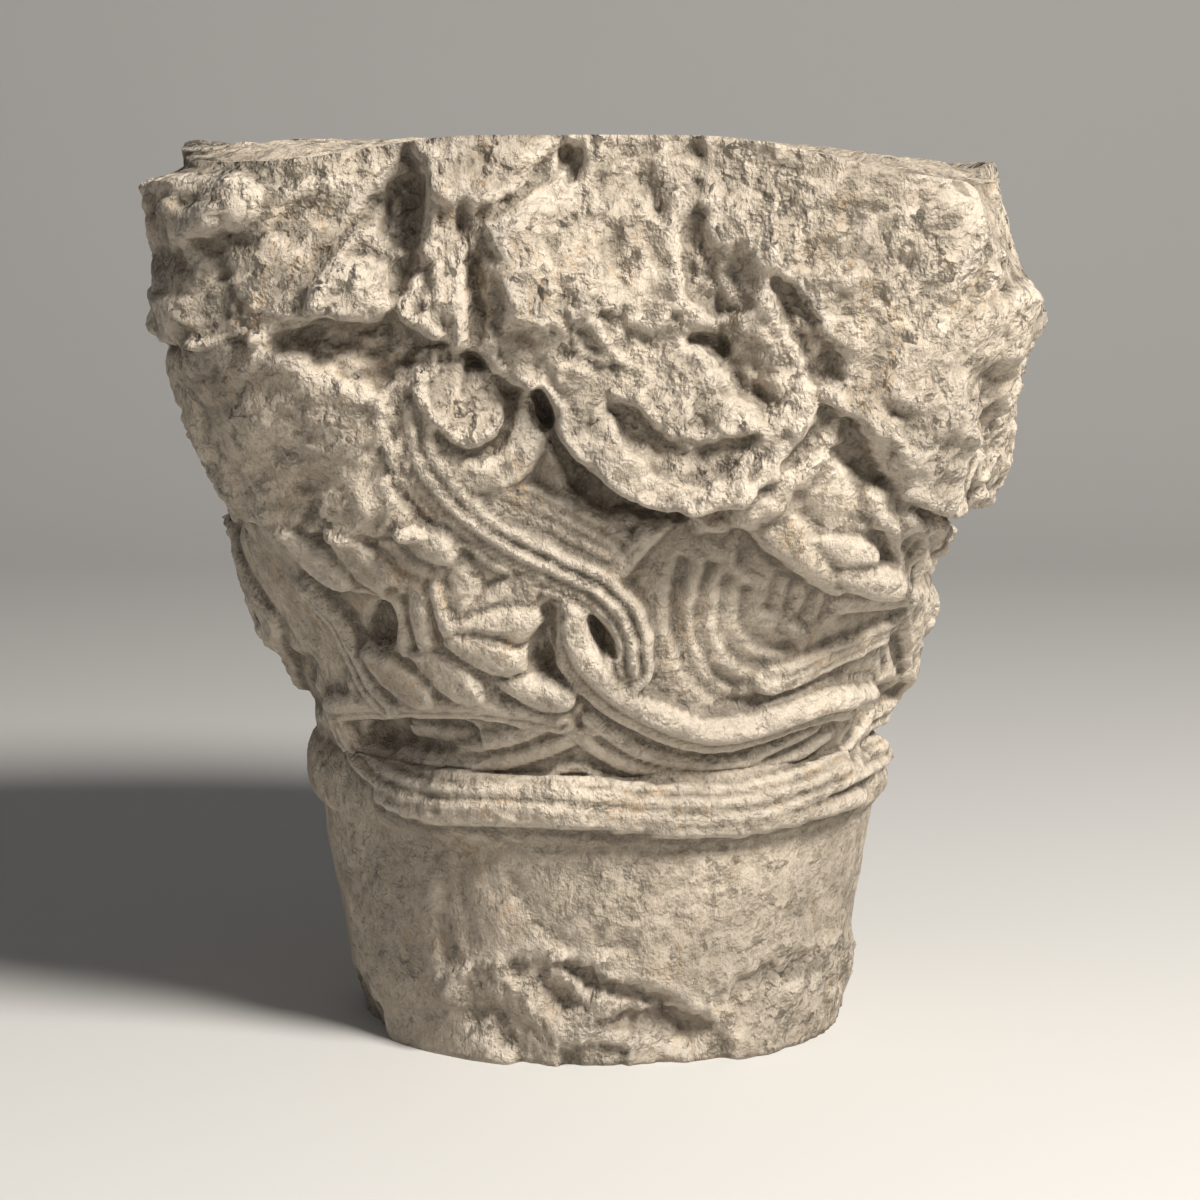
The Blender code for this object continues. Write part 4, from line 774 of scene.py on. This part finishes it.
def carve_front(stone):
    """Everything that the photograph shows on the front."""
    on_wall = stone.blank.under_pixels
    for _, outline, height in BEDS:
        stone.add_mass(outline, height * MM, np.zeros(2), 10, 0.1)
    for _, route, half_width, height, grooves in STRAPS:
        stone.lay_strap(on_wall(smooth_route(route)), half_width * PIXEL, height * MM, grooves)
    for _, root, tip, width, height in LEAVES:
        ends = on_wall([root, tip])
        stone.lay_leaf(ends[0], ends[1], width * PIXEL, height * MM)
    for _, outline, height, tilt, edge, brokenness in MASSES:
        stone.add_mass(outline, height * MM, np.array(tilt) * MM / 100, edge, brokenness)
    for _, route, half_width, depth in CUTS:
        stone.cut_line(on_wall(smooth_route(route)), half_width * PIXEL, depth * MM)


def weave_path(blank, strand):
    """One strand's route round the sides and back, with twelve steps to an eye."""
    along = np.linspace(0, WEAVE_EYES, 12 * WEAVE_EYES + 1)
    turn = np.radians(WEAVE_ARC[0] + (WEAVE_ARC[1] - WEAVE_ARC[0]) * along / WEAVE_EYES)
    swing = np.sin(math.pi * along) * (1 if strand == 0 else -1)
    return blank.point(turn, HEIGHT * (WEAVE_LEVEL + WEAVE_RISE * swing))


def carve_weave(stone):
    """The two strands that weave round the sides and back, each over the other in turn."""
    for strand in (0, 1):
        path = weave_path(stone.blank, strand)
        stone.lay_strap(path, WEAVE_HALF_WIDTH, WEAVE_HEIGHT, WEAVE_GROOVES)
    for crossing in range(2, WEAVE_EYES, 2):
        path = weave_path(stone.blank, 0)[12 * crossing - 5:12 * crossing + 6]
        stone.lay_strap(path, WEAVE_HALF_WIDTH, 1.15 * WEAVE_HEIGHT, WEAVE_GROOVES)


def carve_eyes(stone):
    """A leaf of five lobes in each eye of the weave."""
    for eye in range(WEAVE_EYES):
        turn = math.radians(WEAVE_ARC[0] + (WEAVE_ARC[1] - WEAVE_ARC[0]) * (eye + 0.5) / WEAVE_EYES)
        level = HEIGHT * WEAVE_LEVEL
        reach = HEIGHT * WEAVE_RISE * 0.85
        root_level = level - 0.55 * reach
        root = stone.blank.point(np.array([turn]), np.array([root_level]))[0]
        girth = stone.blank.radius(np.array([turn]), np.array([level]))[0]
        for lean, size in EYE_LEAVES:
            aim = math.radians(lean)
            across = size * reach * math.sin(aim) * 1.3 / girth
            height = root_level + size * reach * math.cos(aim)
            tip = stone.blank.point(np.array([turn + across]), np.array([height]))[0]
            stone.lay_leaf(root, tip, 0.42 * reach, EYE_LEAF_HEIGHT)


def carve_back_top(stone):
    """Broken corner masses over the bell, and a broken boss in the middle of each hidden face."""
    hidden = 1 - stone.seen
    ragged = 0.03 * lumps(stone.places, LARGE_CREST, 11)
    corner = blend(np.sin(2 * stone.angle) ** 2 + 4 * ragged, 0.30, 0.62)
    lower_edge = blend(stone.share + ragged, *CORNER_FROM)
    stone.lift(slice(None), corner * lower_edge * hidden, CORNER_MASS, 0.85)
    boss = blend(np.cos(2 * stone.angle) ** 2 + 4 * ragged, 0.55, 0.85)
    worn_side = blend(stone.share, *BOSS_WORN_FROM) * blend(np.abs(np.sin(stone.angle)), 0.3, 0.8)
    boss_edge = blend(stone.share + ragged, *BOSS_FROM) * (1 - 1.4 * worn_side)
    stone.lift(slice(None), boss * boss_edge * hidden, FACE_BOSS, 0.9)


def warped(places, size, reach, salt):
    """Places pushed about by smooth noise, so that what is read there has no straight edges."""
    return places + reach * np.stack([lumps(places, size, salt + 5 * k) for k in range(3)], -1)


def streaked(places):
    """Places drawn out along the stone's splitting, which leans one way on the left and another elsewhere."""
    steep = stretched(places, (0.42, 0.0, -1.0), 1.8)
    flat = stretched(places, (1.0, 0.0, 0.75), 1.8)
    left = blend(-places[:, 0] / HEIGHT, 0.115, 0.23)[:, None]
    return steep * (1 - left) + flat * left


def crests(places, size, salt):
    """Smooth noise folded up into sharp crests, from about -1 to 1."""
    return 1.0 - 2.6 * np.abs(lumps(places, size, salt))


def large_breaks(places):
    """The big tilted faces of broken marble."""
    faces = LARGE_FACE_DEPTH * facets(warped(places, *FACE_BEND, 61), LARGE_FACE, 5)
    return (faces + LARGE_CREST_DEPTH * crests(warped(places, *CREST_BEND, 81), LARGE_CREST, 15)) * MM


def chips(places):
    """The chips on those faces."""
    streaks = streaked(places)
    faces = CHIP_DEPTH * facets(warped(streaks, *CHIP_BEND, 71), CHIP, 13)
    return (faces + crests(warped(streaks, *CHIP_CREST_BEND, 91), CHIP_CREST, 33)) * MM


def splinters(places):
    """The splinters and grains on the chips."""
    streaks = streaked(places)
    faces = SPLINTER_DEPTH * facets(streaks, SPLINTER, 23)
    faces = faces + SPLINTER_CREST_DEPTH * crests(streaks, 0.9 * SPLINTER, 29)
    return (faces + SPLINTER_CREST_DEPTH * lumps(streaks, 0.55 * SPLINTER, 53)) * MM


def soften(grid, passes):
    """A height grid with each point drawn towards its four neighbours. Its columns run round the block."""
    for _ in range(passes):
        above = np.hstack([grid[:, 1:], grid[:, -1:]])
        below = np.hstack([grid[:, :1], grid[:, :-1]])
        beside = np.roll(grid, 1, axis=0) + np.roll(grid, -1, axis=0)
        grid = 0.5 * grid + 0.125 * (above + below + beside)
    return grid


def crowded(turn):
    """Angles round the block, drawn together at the front."""
    return turn - FRONT_CROWDING * np.sin(turn)


def carve_grid(size, turn, rows):
    """The carved wall as a grid of places, with how hollow and how broken the stone is at each."""
    blank = Blank(size)
    angle = np.repeat(crowded(turn), len(rows))
    rise = np.tile(rows, len(turn))
    height = rise * blank.bed_height(angle, 1.0)
    stone = Stone(blank, angle, height)
    carve_weave(stone)
    carve_eyes(stone)
    carve_back_top(stone)
    carve_front(stone)
    shape = (len(turn), len(rows))
    top = blend(stone.share, *TOP_FROM)
    broken = np.maximum(stone.broken, 0.5 * top)
    gentle = lumps(stone.places, BROAD_SWELL) * (0.6 + 0.9 * top) + 0.5 * lumps(stone.places, SMALL_SWELL, 3)
    fine = 0.34 * lumps(stone.places, PIT, 17) + 0.22 * lumps(stone.places, FINE_PIT, 19)
    large = size.wear * gentle * MM + size.fracture * large_breaks(stone.places) * broken
    small = chips(stone.places) + splinters(stone.places)
    small = size.wear * fine * MM + size.fracture * small * (CARVED_ROUGHNESS + broken)
    relief = soften(stone.relief.reshape(shape) + large.reshape(shape), 2)
    relief = relief + (small * (0.4 + 0.6 * blend(rise, 0.0, CALM_FOOT))).reshape(shape)
    carving = soften(stone.relief.reshape(shape), 1)
    # hollow is how far a place lies below its surroundings. The marble darkens hollows and grooves by it with
    # soiling and painted shade, and lightens crests, where it is negative, with wear and a painted highlight
    crevice = soften(carving, 5) - carving + 0.35 * (soften(relief, 4) - relief)
    hollow = (soften(relief, 30) - relief) / BROAD_HOLLOW + crevice / CARVED_HOLLOW
    carved = stone.places + relief.reshape(-1, 1) * stone.normals
    settle = blend(rise, 0.0, LEVEL_FOOT)
    carved[:, 2] = np.where(rise < 0.5, carved[:, 2] * settle + height * (1 - settle), carved[:, 2])
    return carved.reshape(*shape, 3), hollow, soften(broken.reshape(shape), 3)


def row_levels(count):
    """Heights of the wall's rows, as shares of its height, closer together where the carving is."""
    at = np.linspace(0, 1, 1001)
    density = 1.0 / read_curve(ROW_SPACING, at)
    total = np.concatenate([[0.0], np.cumsum((density[1:] + density[:-1]) / 2)])
    return np.interp(np.linspace(0, total[-1], count + 1), total, at)


def turned_blank(columns, wall_rows, cap_rings):
    """A turned cylinder of unit radius, with its wall's rows stacked by number and rings in both ends."""
    bm = bmesh.new()
    foot_rings = 3
    rim = [bm.verts.new((0.0, -1.0, float(row))) for row in range(wall_rows + 1)]
    top = [bm.verts.new((0.0, -1.0 + k / cap_rings, wall_rows)) for k in range(1, cap_rings + 1)]
    foot = [bm.verts.new((0.0, -1.0 + k / foot_rings, 0.0)) for k in range(foot_rings, 0, -1)]
    chain = foot + rim + top
    edges = [bm.edges.new(pair) for pair in zip(chain, chain[1:])]
    bmesh.ops.spin(
        bm, geom=chain + edges, axis=(0, 0, 1), cent=(0, 0, 0), steps=columns, angle=math.tau, use_merge=True
    )
    bmesh.ops.remove_doubles(bm, verts=bm.verts, dist=1e-4)
    bmesh.ops.recalc_face_normals(bm, faces=bm.faces)
    return bm


def carve_mesh(mesh, size):
    """Moves a turned blank's points to the carved surface, and keeps the stone's state as attributes."""
    places = np.empty(len(mesh.vertices) * 3)
    mesh.vertices.foreach_get("co", places)
    turned = places.reshape(-1, 3)
    columns = size.columns
    radius = np.hypot(turned[:, 0], turned[:, 1])
    turn = np.mod(np.arctan2(turned[:, 0], -turned[:, 1]), math.tau)
    column = np.round(turn / math.tau * columns).astype(int) % columns
    row = np.round(turned[:, 2]).astype(int)
    grid_turn = np.arange(columns) * math.tau / columns
    grid, hollow, broken = carve_grid(size, grid_turn, row_levels(size.wall_rows))
    carved = grid[column, row]
    cap = radius < 1 - 1e-4
    top, foot = cap & (row > 0), cap & (row == 0)
    carved[cap, :2] *= radius[cap, None]
    angle = crowded(grid_turn[column])
    pull = radius[top] ** RIM_PULL
    level = np.column_stack([carved[top, :2], np.full(top.sum(), HEIGHT)])
    rough = (large_breaks(level) + chips(level)) * blend(radius[top], 0.45, 0.8)
    worn = Blank(size).bed_height(angle[top], radius[top]) - np.abs(rough)
    carved[top, 2] = worn * (1 - pull) + carved[top, 2] * pull
    carved[foot, 2] = 0.0
    carved = np.clip(carved, CAD_LOW, CAD_HIGH)
    mesh.vertices.foreach_set("co", carved.ravel())
    for name, values in (("hollow", hollow), ("broken", broken)):
        state = values[column, row].copy()
        state[cap] *= radius[cap] ** RIM_PULL
        mesh.attributes.new(name, "FLOAT", "POINT").data.foreach_set("value", state)
    mesh.update()


class Nodes:
    """Short names for adding and joining a material's nodes."""

    def __init__(self, material):
        material.use_nodes = True
        self.tree = material.node_tree
        self.shader = self.tree.nodes["Principled BSDF"]

    def add(self, kind, values=(), links=(), **settings):
        node = self.tree.nodes.new(kind)
        for name, value in settings.items():
            setattr(node, name, value)
        for socket, value in dict(values).items():
            node.inputs[socket].default_value = value
        for socket, source in dict(links).items():
            self.tree.links.new(source, node.inputs[socket])
        return node

    def noise(self, vector, scale, detail=3.0, roughness=0.6, distortion=0.0):
        node = self.add(
            "ShaderNodeTexNoise", links={"Vector": vector},
            values={"Scale": scale, "Detail": detail, "Roughness": roughness, "Distortion": distortion},
        )
        return node.outputs["Fac"]

    def vector(self, operation, a, b):
        node = self.add("ShaderNodeVectorMath", operation=operation)
        for socket, value in ((0, a), (1, b)):
            if isinstance(value, tuple):
                node.inputs[socket].default_value = value
            else:
                self.tree.links.new(value, node.inputs[socket])
        return node.outputs["Value" if operation == "DOT_PRODUCT" else "Vector"]

    def sway(self, place, scale):
        """A noisy direction at each place, for bending what is read there."""
        node = self.add(
            "ShaderNodeTexNoise", links={"Vector": place}, values={"Scale": scale, "Detail": 3.0}
        )
        return self.vector("SUBTRACT", node.outputs["Color"], (0.5, 0.5, 0.5))

    def flakes(self, place, sway, scale, crooked):
        """Flat flakes at odd tilts with steps between them, from about -0.3 to 0.3."""
        crossing = self.vector("ADD", place, self.vector("MULTIPLY", sway, (crooked / scale,) * 3))
        cells = self.add("ShaderNodeTexVoronoi", links={"Vector": crossing}, values={"Scale": scale})
        away = self.vector("SUBTRACT", crossing, cells.outputs["Position"])
        tilt = self.vector("SUBTRACT", cells.outputs["Color"], (0.5, 0.5, 0.5))
        return self.math("MULTIPLY", self.vector("DOT_PRODUCT", away, tilt), scale)

    def range(self, value, low, high, to_low=0.0, to_high=1.0):
        node = self.add(
            "ShaderNodeMapRange", links={"Value": value},
            values={"From Min": low, "From Max": high, "To Min": to_low, "To Max": to_high},
        )
        return node.outputs["Result"]

    def math(self, operation, a, b):
        node = self.add("ShaderNodeMath", operation=operation)
        for socket, value in ((0, a), (1, b)):
            if isinstance(value, (int, float)):
                node.inputs[socket].default_value = value
            else:
                self.tree.links.new(value, node.inputs[socket])
        return node.outputs[0]

    def plus(self, a, b):
        return self.math("ADD", a, b)

    def times(self, a, b):
        return self.math("MULTIPLY", a, b)

    def mix(self, factor, under, over):
        node = self.add("ShaderNodeMix", data_type="RGBA", links={"Factor": factor})
        for socket, value in (("A", under), ("B", over)):
            entry = next(i for i in node.inputs if i.name == socket and i.type == "RGBA")
            if isinstance(value, bpy.types.NodeSocket):
                self.tree.links.new(value, entry)
            else:
                entry.default_value = value
        return next(o for o in node.outputs if o.type == "RGBA")

    def attribute(self, name):
        return self.add("ShaderNodeAttribute", attribute_name=name).outputs["Fac"]


def marble(finish):
    """Weathered marble: cream and grey patches, thin rust stains, soiling and painted shade in hollows and in
    the grain's low pits, painted shade towards the foot, rubbed edges with a painted highlight, and a
    crumbling grain.
    """
    material = bpy.data.materials.new("weathered marble")
    nodes = Nodes(material)
    place = nodes.add("ShaderNodeTexCoord").outputs["Object"]
    lean = nodes.add(
        "ShaderNodeMapping", links={"Vector": place},
        values={"Rotation": (0.0, math.radians(-28), 0.0), "Scale": (1.0, 1.0, 0.4)},
    ).outputs["Vector"]
    hollow = nodes.attribute("hollow")
    broken = nodes.attribute("broken")

    crumb = nodes.noise(place, CRUMBS, 5, 0.62)
    splinter = nodes.noise(lean, SPLINTERS, 3, 0.7)
    grain = nodes.noise(place, GRAINS, 3, 0.7)
    rough = nodes.range(broken, 0.0, 0.8, 0.65, 1.0)
    sway = nodes.sway(place, FLAKE_SWAY)
    broad_flakes = nodes.times(nodes.flakes(lean, sway, BROAD_FLAKES, 1.8), 2.0)
    flaked = nodes.plus(broad_flakes, nodes.flakes(place, sway, FINE_FLAKES, 2.5))
    flaked = nodes.plus(flaked, nodes.times(crumb, 0.45))
    surface = nodes.plus(nodes.times(flaked, rough), nodes.times(splinter, 0.3))
    surface = nodes.plus(surface, nodes.times(grain, 0.16))
    bump = nodes.add(
        "ShaderNodeBump", links={"Height": surface}, values={"Strength": 1.0, "Distance": finish.grain_depth}
    )
    nodes.tree.links.new(bump.outputs["Normal"], nodes.shader.inputs["Normal"])

    patches = nodes.range(nodes.noise(place, PATCHES, 5, 0.62), 0.42, 0.6)
    colour = nodes.mix(nodes.times(patches, 0.8), list(finish.cream), list(finish.grey))
    # The stone's darker grains and painted shade: the low places of the fine bump are darkened towards the
    # shade colour
    grain_and_pit_shade = nodes.range(nodes.plus(nodes.times(crumb, 0.6), nodes.times(grain, 0.4)), 0.56, 0.42)
    colour = nodes.mix(nodes.times(grain_and_pit_shade, 0.45), colour, list(finish.shade))
    stain = nodes.noise(lean, STAINS, 6, 0.65)
    line = nodes.range(nodes.math("ABSOLUTE", nodes.math("SUBTRACT", stain, 0.5), 0.0), 0.018, 0.0)
    stained = nodes.range(nodes.noise(place, STAINED_PLACES, 3), 0.5, 0.62)
    colour = nodes.mix(nodes.times(nodes.times(line, stained), 0.7), colour, list(finish.rust))
    blush = nodes.range(nodes.noise(place, BLUSH, 4, 0.7), 0.6, 0.75)
    colour = nodes.mix(nodes.times(blush, 0.25), colour, list(finish.rust))
    # Soiling and painted shade: hollows and grooves are darkened towards a dark brown, partly real soiling
    # and partly painted shade where shadow falls
    grime_and_shade = nodes.times(nodes.range(hollow, 0.02, 1.0), nodes.range(grain_and_pit_shade, 0.0, 1.0, 0.7, 1.0))
    grime_and_shade = nodes.times(grime_and_shade, nodes.range(broken, 0.2, 0.9, 0.72, 0.62))
    colour = nodes.mix(grime_and_shade, colour, list(finish.dirt_and_shade))
    # Painted shade: the stone turns a patchy grey towards its foot, in place of light that falls off downward
    level = nodes.add("ShaderNodeSeparateXYZ", links={"Vector": place}).outputs["Z"]
    painted_foot_shade = nodes.times(nodes.range(level, FOOT_SHADE_LEVEL, 0.0), nodes.range(crumb, 0.4, 0.6, 0.25, 0.6))
    colour = nodes.mix(painted_foot_shade, colour, list(finish.grey))
    # Wear and painted highlight: the crests, where the hollow measure is negative, lighten towards the worn
    # colour
    worn_and_highlit_edge = nodes.range(hollow, -0.15, -0.9)
    colour = nodes.mix(nodes.times(worn_and_highlit_edge, 0.38), colour, list(finish.worn))
    nodes.tree.links.new(colour, nodes.shader.inputs["Base Color"])

    sheen = nodes.noise(place, SHEEN, 3)
    sheen = nodes.range(sheen, 0.3, 0.7, finish.roughness - 0.1, finish.roughness + 0.1)
    nodes.tree.links.new(sheen, nodes.shader.inputs["Roughness"])
    nodes.shader.inputs["Specular IOR Level"].default_value = 0.35
    return material


class OBJECT_OT_carve_capital(bpy.types.Operator):
    """Carve the capital from a turned blank and give it its marble"""

    bl_idname = "object.carve_capital"
    bl_label = "Carve capital"

    def execute(self, context):
        size = context.scene.capital_stone
        bm = turned_blank(size.columns, size.wall_rows, size.cap_rings)
        mesh = bpy.data.meshes.new("carved_capital")
        bm.to_mesh(mesh)
        bm.free()
        carve_mesh(mesh, size)
        mesh.shade_smooth()
        mesh.materials.append(marble(context.scene.capital_finish))
        piece = bpy.data.objects.new("carved_capital", mesh)
        context.scene.collection.objects.link(piece)
        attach(piece, "root")
        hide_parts("capital")
        return {"FINISHED"}


def backdrop(colour):
    """A pale floor that curves up into a wall behind."""
    bm = bmesh.new()
    profile = [(-FLOOR_FRONT, 0.0)]
    for k in range(BEND_STEPS + 1):
        turn = math.pi / 2 * k / BEND_STEPS
        profile.append((FLOOR_DEPTH + FLOOR_BEND * math.sin(turn), FLOOR_BEND * (1 - math.cos(turn))))
    profile.append((FLOOR_DEPTH + FLOOR_BEND, WALL_HEIGHT))
    verts = [bm.verts.new((-WALL_HALF_WIDTH, y, z)) for y, z in profile]
    edges = [bm.edges.new(pair) for pair in zip(verts, verts[1:])]
    swept = bmesh.ops.extrude_edge_only(bm, edges=edges)["geom"]
    moved = [g for g in swept if isinstance(g, bmesh.types.BMVert)]
    bmesh.ops.translate(bm, verts=moved, vec=(2 * WALL_HALF_WIDTH, 0.0, 0.0))
    bmesh.ops.recalc_face_normals(bm, faces=bm.faces)
    mesh = bpy.data.meshes.new("studio_floor")
    bm.to_mesh(mesh)
    bm.free()
    mesh.shade_smooth()
    material = bpy.data.materials.new("studio paper")
    nodes = Nodes(material)
    place = nodes.add("ShaderNodeTexCoord").outputs["Object"]
    shade = nodes.range(nodes.noise(place, 1.5), 0.3, 0.7, 0.0, 0.06)
    tone = nodes.mix(shade, list(colour), (0.5, 0.49, 0.47, 1.0))
    nodes.tree.links.new(tone, nodes.shader.inputs["Base Color"])
    nodes.shader.inputs["Roughness"].default_value = 0.9
    mesh.materials.append(material)
    floor = bpy.data.objects.new("studio_floor", mesh)
    bpy.context.scene.collection.objects.link(floor)
    return floor


def area_light(name, power, turn, lift, distance, size, colour):
    """A soft light that looks at the block's middle. Turn 0 is the camera's side, in degrees."""
    data = bpy.data.lights.new(name, "AREA")
    data.shape = "DISK"
    data.size = size
    data.energy = power
    data.color = colour
    light = bpy.data.objects.new(name, data)
    t, e = math.radians(turn), math.radians(lift)
    aim = np.array([0.0, 0.0, HEIGHT / 2])
    away = np.array([math.sin(t) * math.cos(e), -math.cos(t) * math.cos(e), math.sin(e)])
    light.location = aim + distance * away
    light.rotation_euler = (math.pi / 2 - e, 0.0, t)
    bpy.context.scene.collection.objects.link(light)


class SCENE_OT_set_capital_stage(bpy.types.Operator):
    """Lay the floor, hang the lights and place the camera at the photograph's station point"""

    bl_idname = "scene.set_capital_stage"
    bl_label = "Set stage"

    def execute(self, context):
        scene = context.scene
        stage = scene.capital_stage
        backdrop(stage.floor)
        area_light("key", stage.key_power, *KEY_LIGHT)
        area_light("fill", stage.fill_power, *FILL_LIGHT)
        world = bpy.data.worlds.new("room")
        world.use_nodes = True
        room = world.node_tree.nodes["Background"]
        room.inputs["Color"].default_value = ROOM_COLOUR
        room.inputs["Strength"].default_value = stage.sky
        scene.world = world
        data = bpy.data.cameras.new("camera")
        data.sensor_width = 36.0
        data.lens = FOCAL / PHOTO_SIZE * data.sensor_width * stage.eye_distance / EYE_DISTANCE
        camera = bpy.data.objects.new("camera", data)
        aside = (PHOTO_SIZE / 2 - PHOTO_CENTRE[0]) * PIXEL
        camera.location = (aside, -stage.eye_distance, EYE_HEIGHT)
        camera.rotation_euler = (math.pi / 2 - EYE_PITCH, 0.0, 0.0)
        scene.collection.objects.link(camera)
        scene.camera = camera
        scene.view_settings.view_transform = "Standard"
        return {"FINISHED"}


class VIEW3D_PT_capital(bpy.types.Panel):
    """The capital's sizes, finish and stage"""

    bl_idname = "VIEW3D_PT_capital"
    bl_label = "Marble capital"
    bl_space_type = "VIEW_3D"
    bl_region_type = "UI"
    bl_category = "Capital"

    def draw(self, context):
        for group in (context.scene.capital_stone, context.scene.capital_finish, context.scene.capital_stage):
            box = self.layout.box()
            for name in group.__annotations__:
                box.prop(group, name)
        self.layout.operator("object.carve_capital")
        self.layout.operator("scene.set_capital_stage")


CLASSES = (
    CapitalStone,
    CapitalFinish,
    CapitalStage,
    OBJECT_OT_carve_capital,
    SCENE_OT_set_capital_stage,
    VIEW3D_PT_capital,
)


def register():
    for cls in CLASSES:
        bpy.utils.register_class(cls)
    bpy.types.Scene.capital_stone = PointerProperty(type=CapitalStone)
    bpy.types.Scene.capital_finish = PointerProperty(type=CapitalFinish)
    bpy.types.Scene.capital_stage = PointerProperty(type=CapitalStage)


def unregister():
    del bpy.types.Scene.capital_stage
    del bpy.types.Scene.capital_finish
    del bpy.types.Scene.capital_stone
    for cls in reversed(CLASSES):
        bpy.utils.unregister_class(cls)


def main():
    register()
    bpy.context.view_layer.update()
    bpy.ops.object.carve_capital()
    bpy.ops.scene.set_capital_stage()


if __name__ == "__main__":
    main()
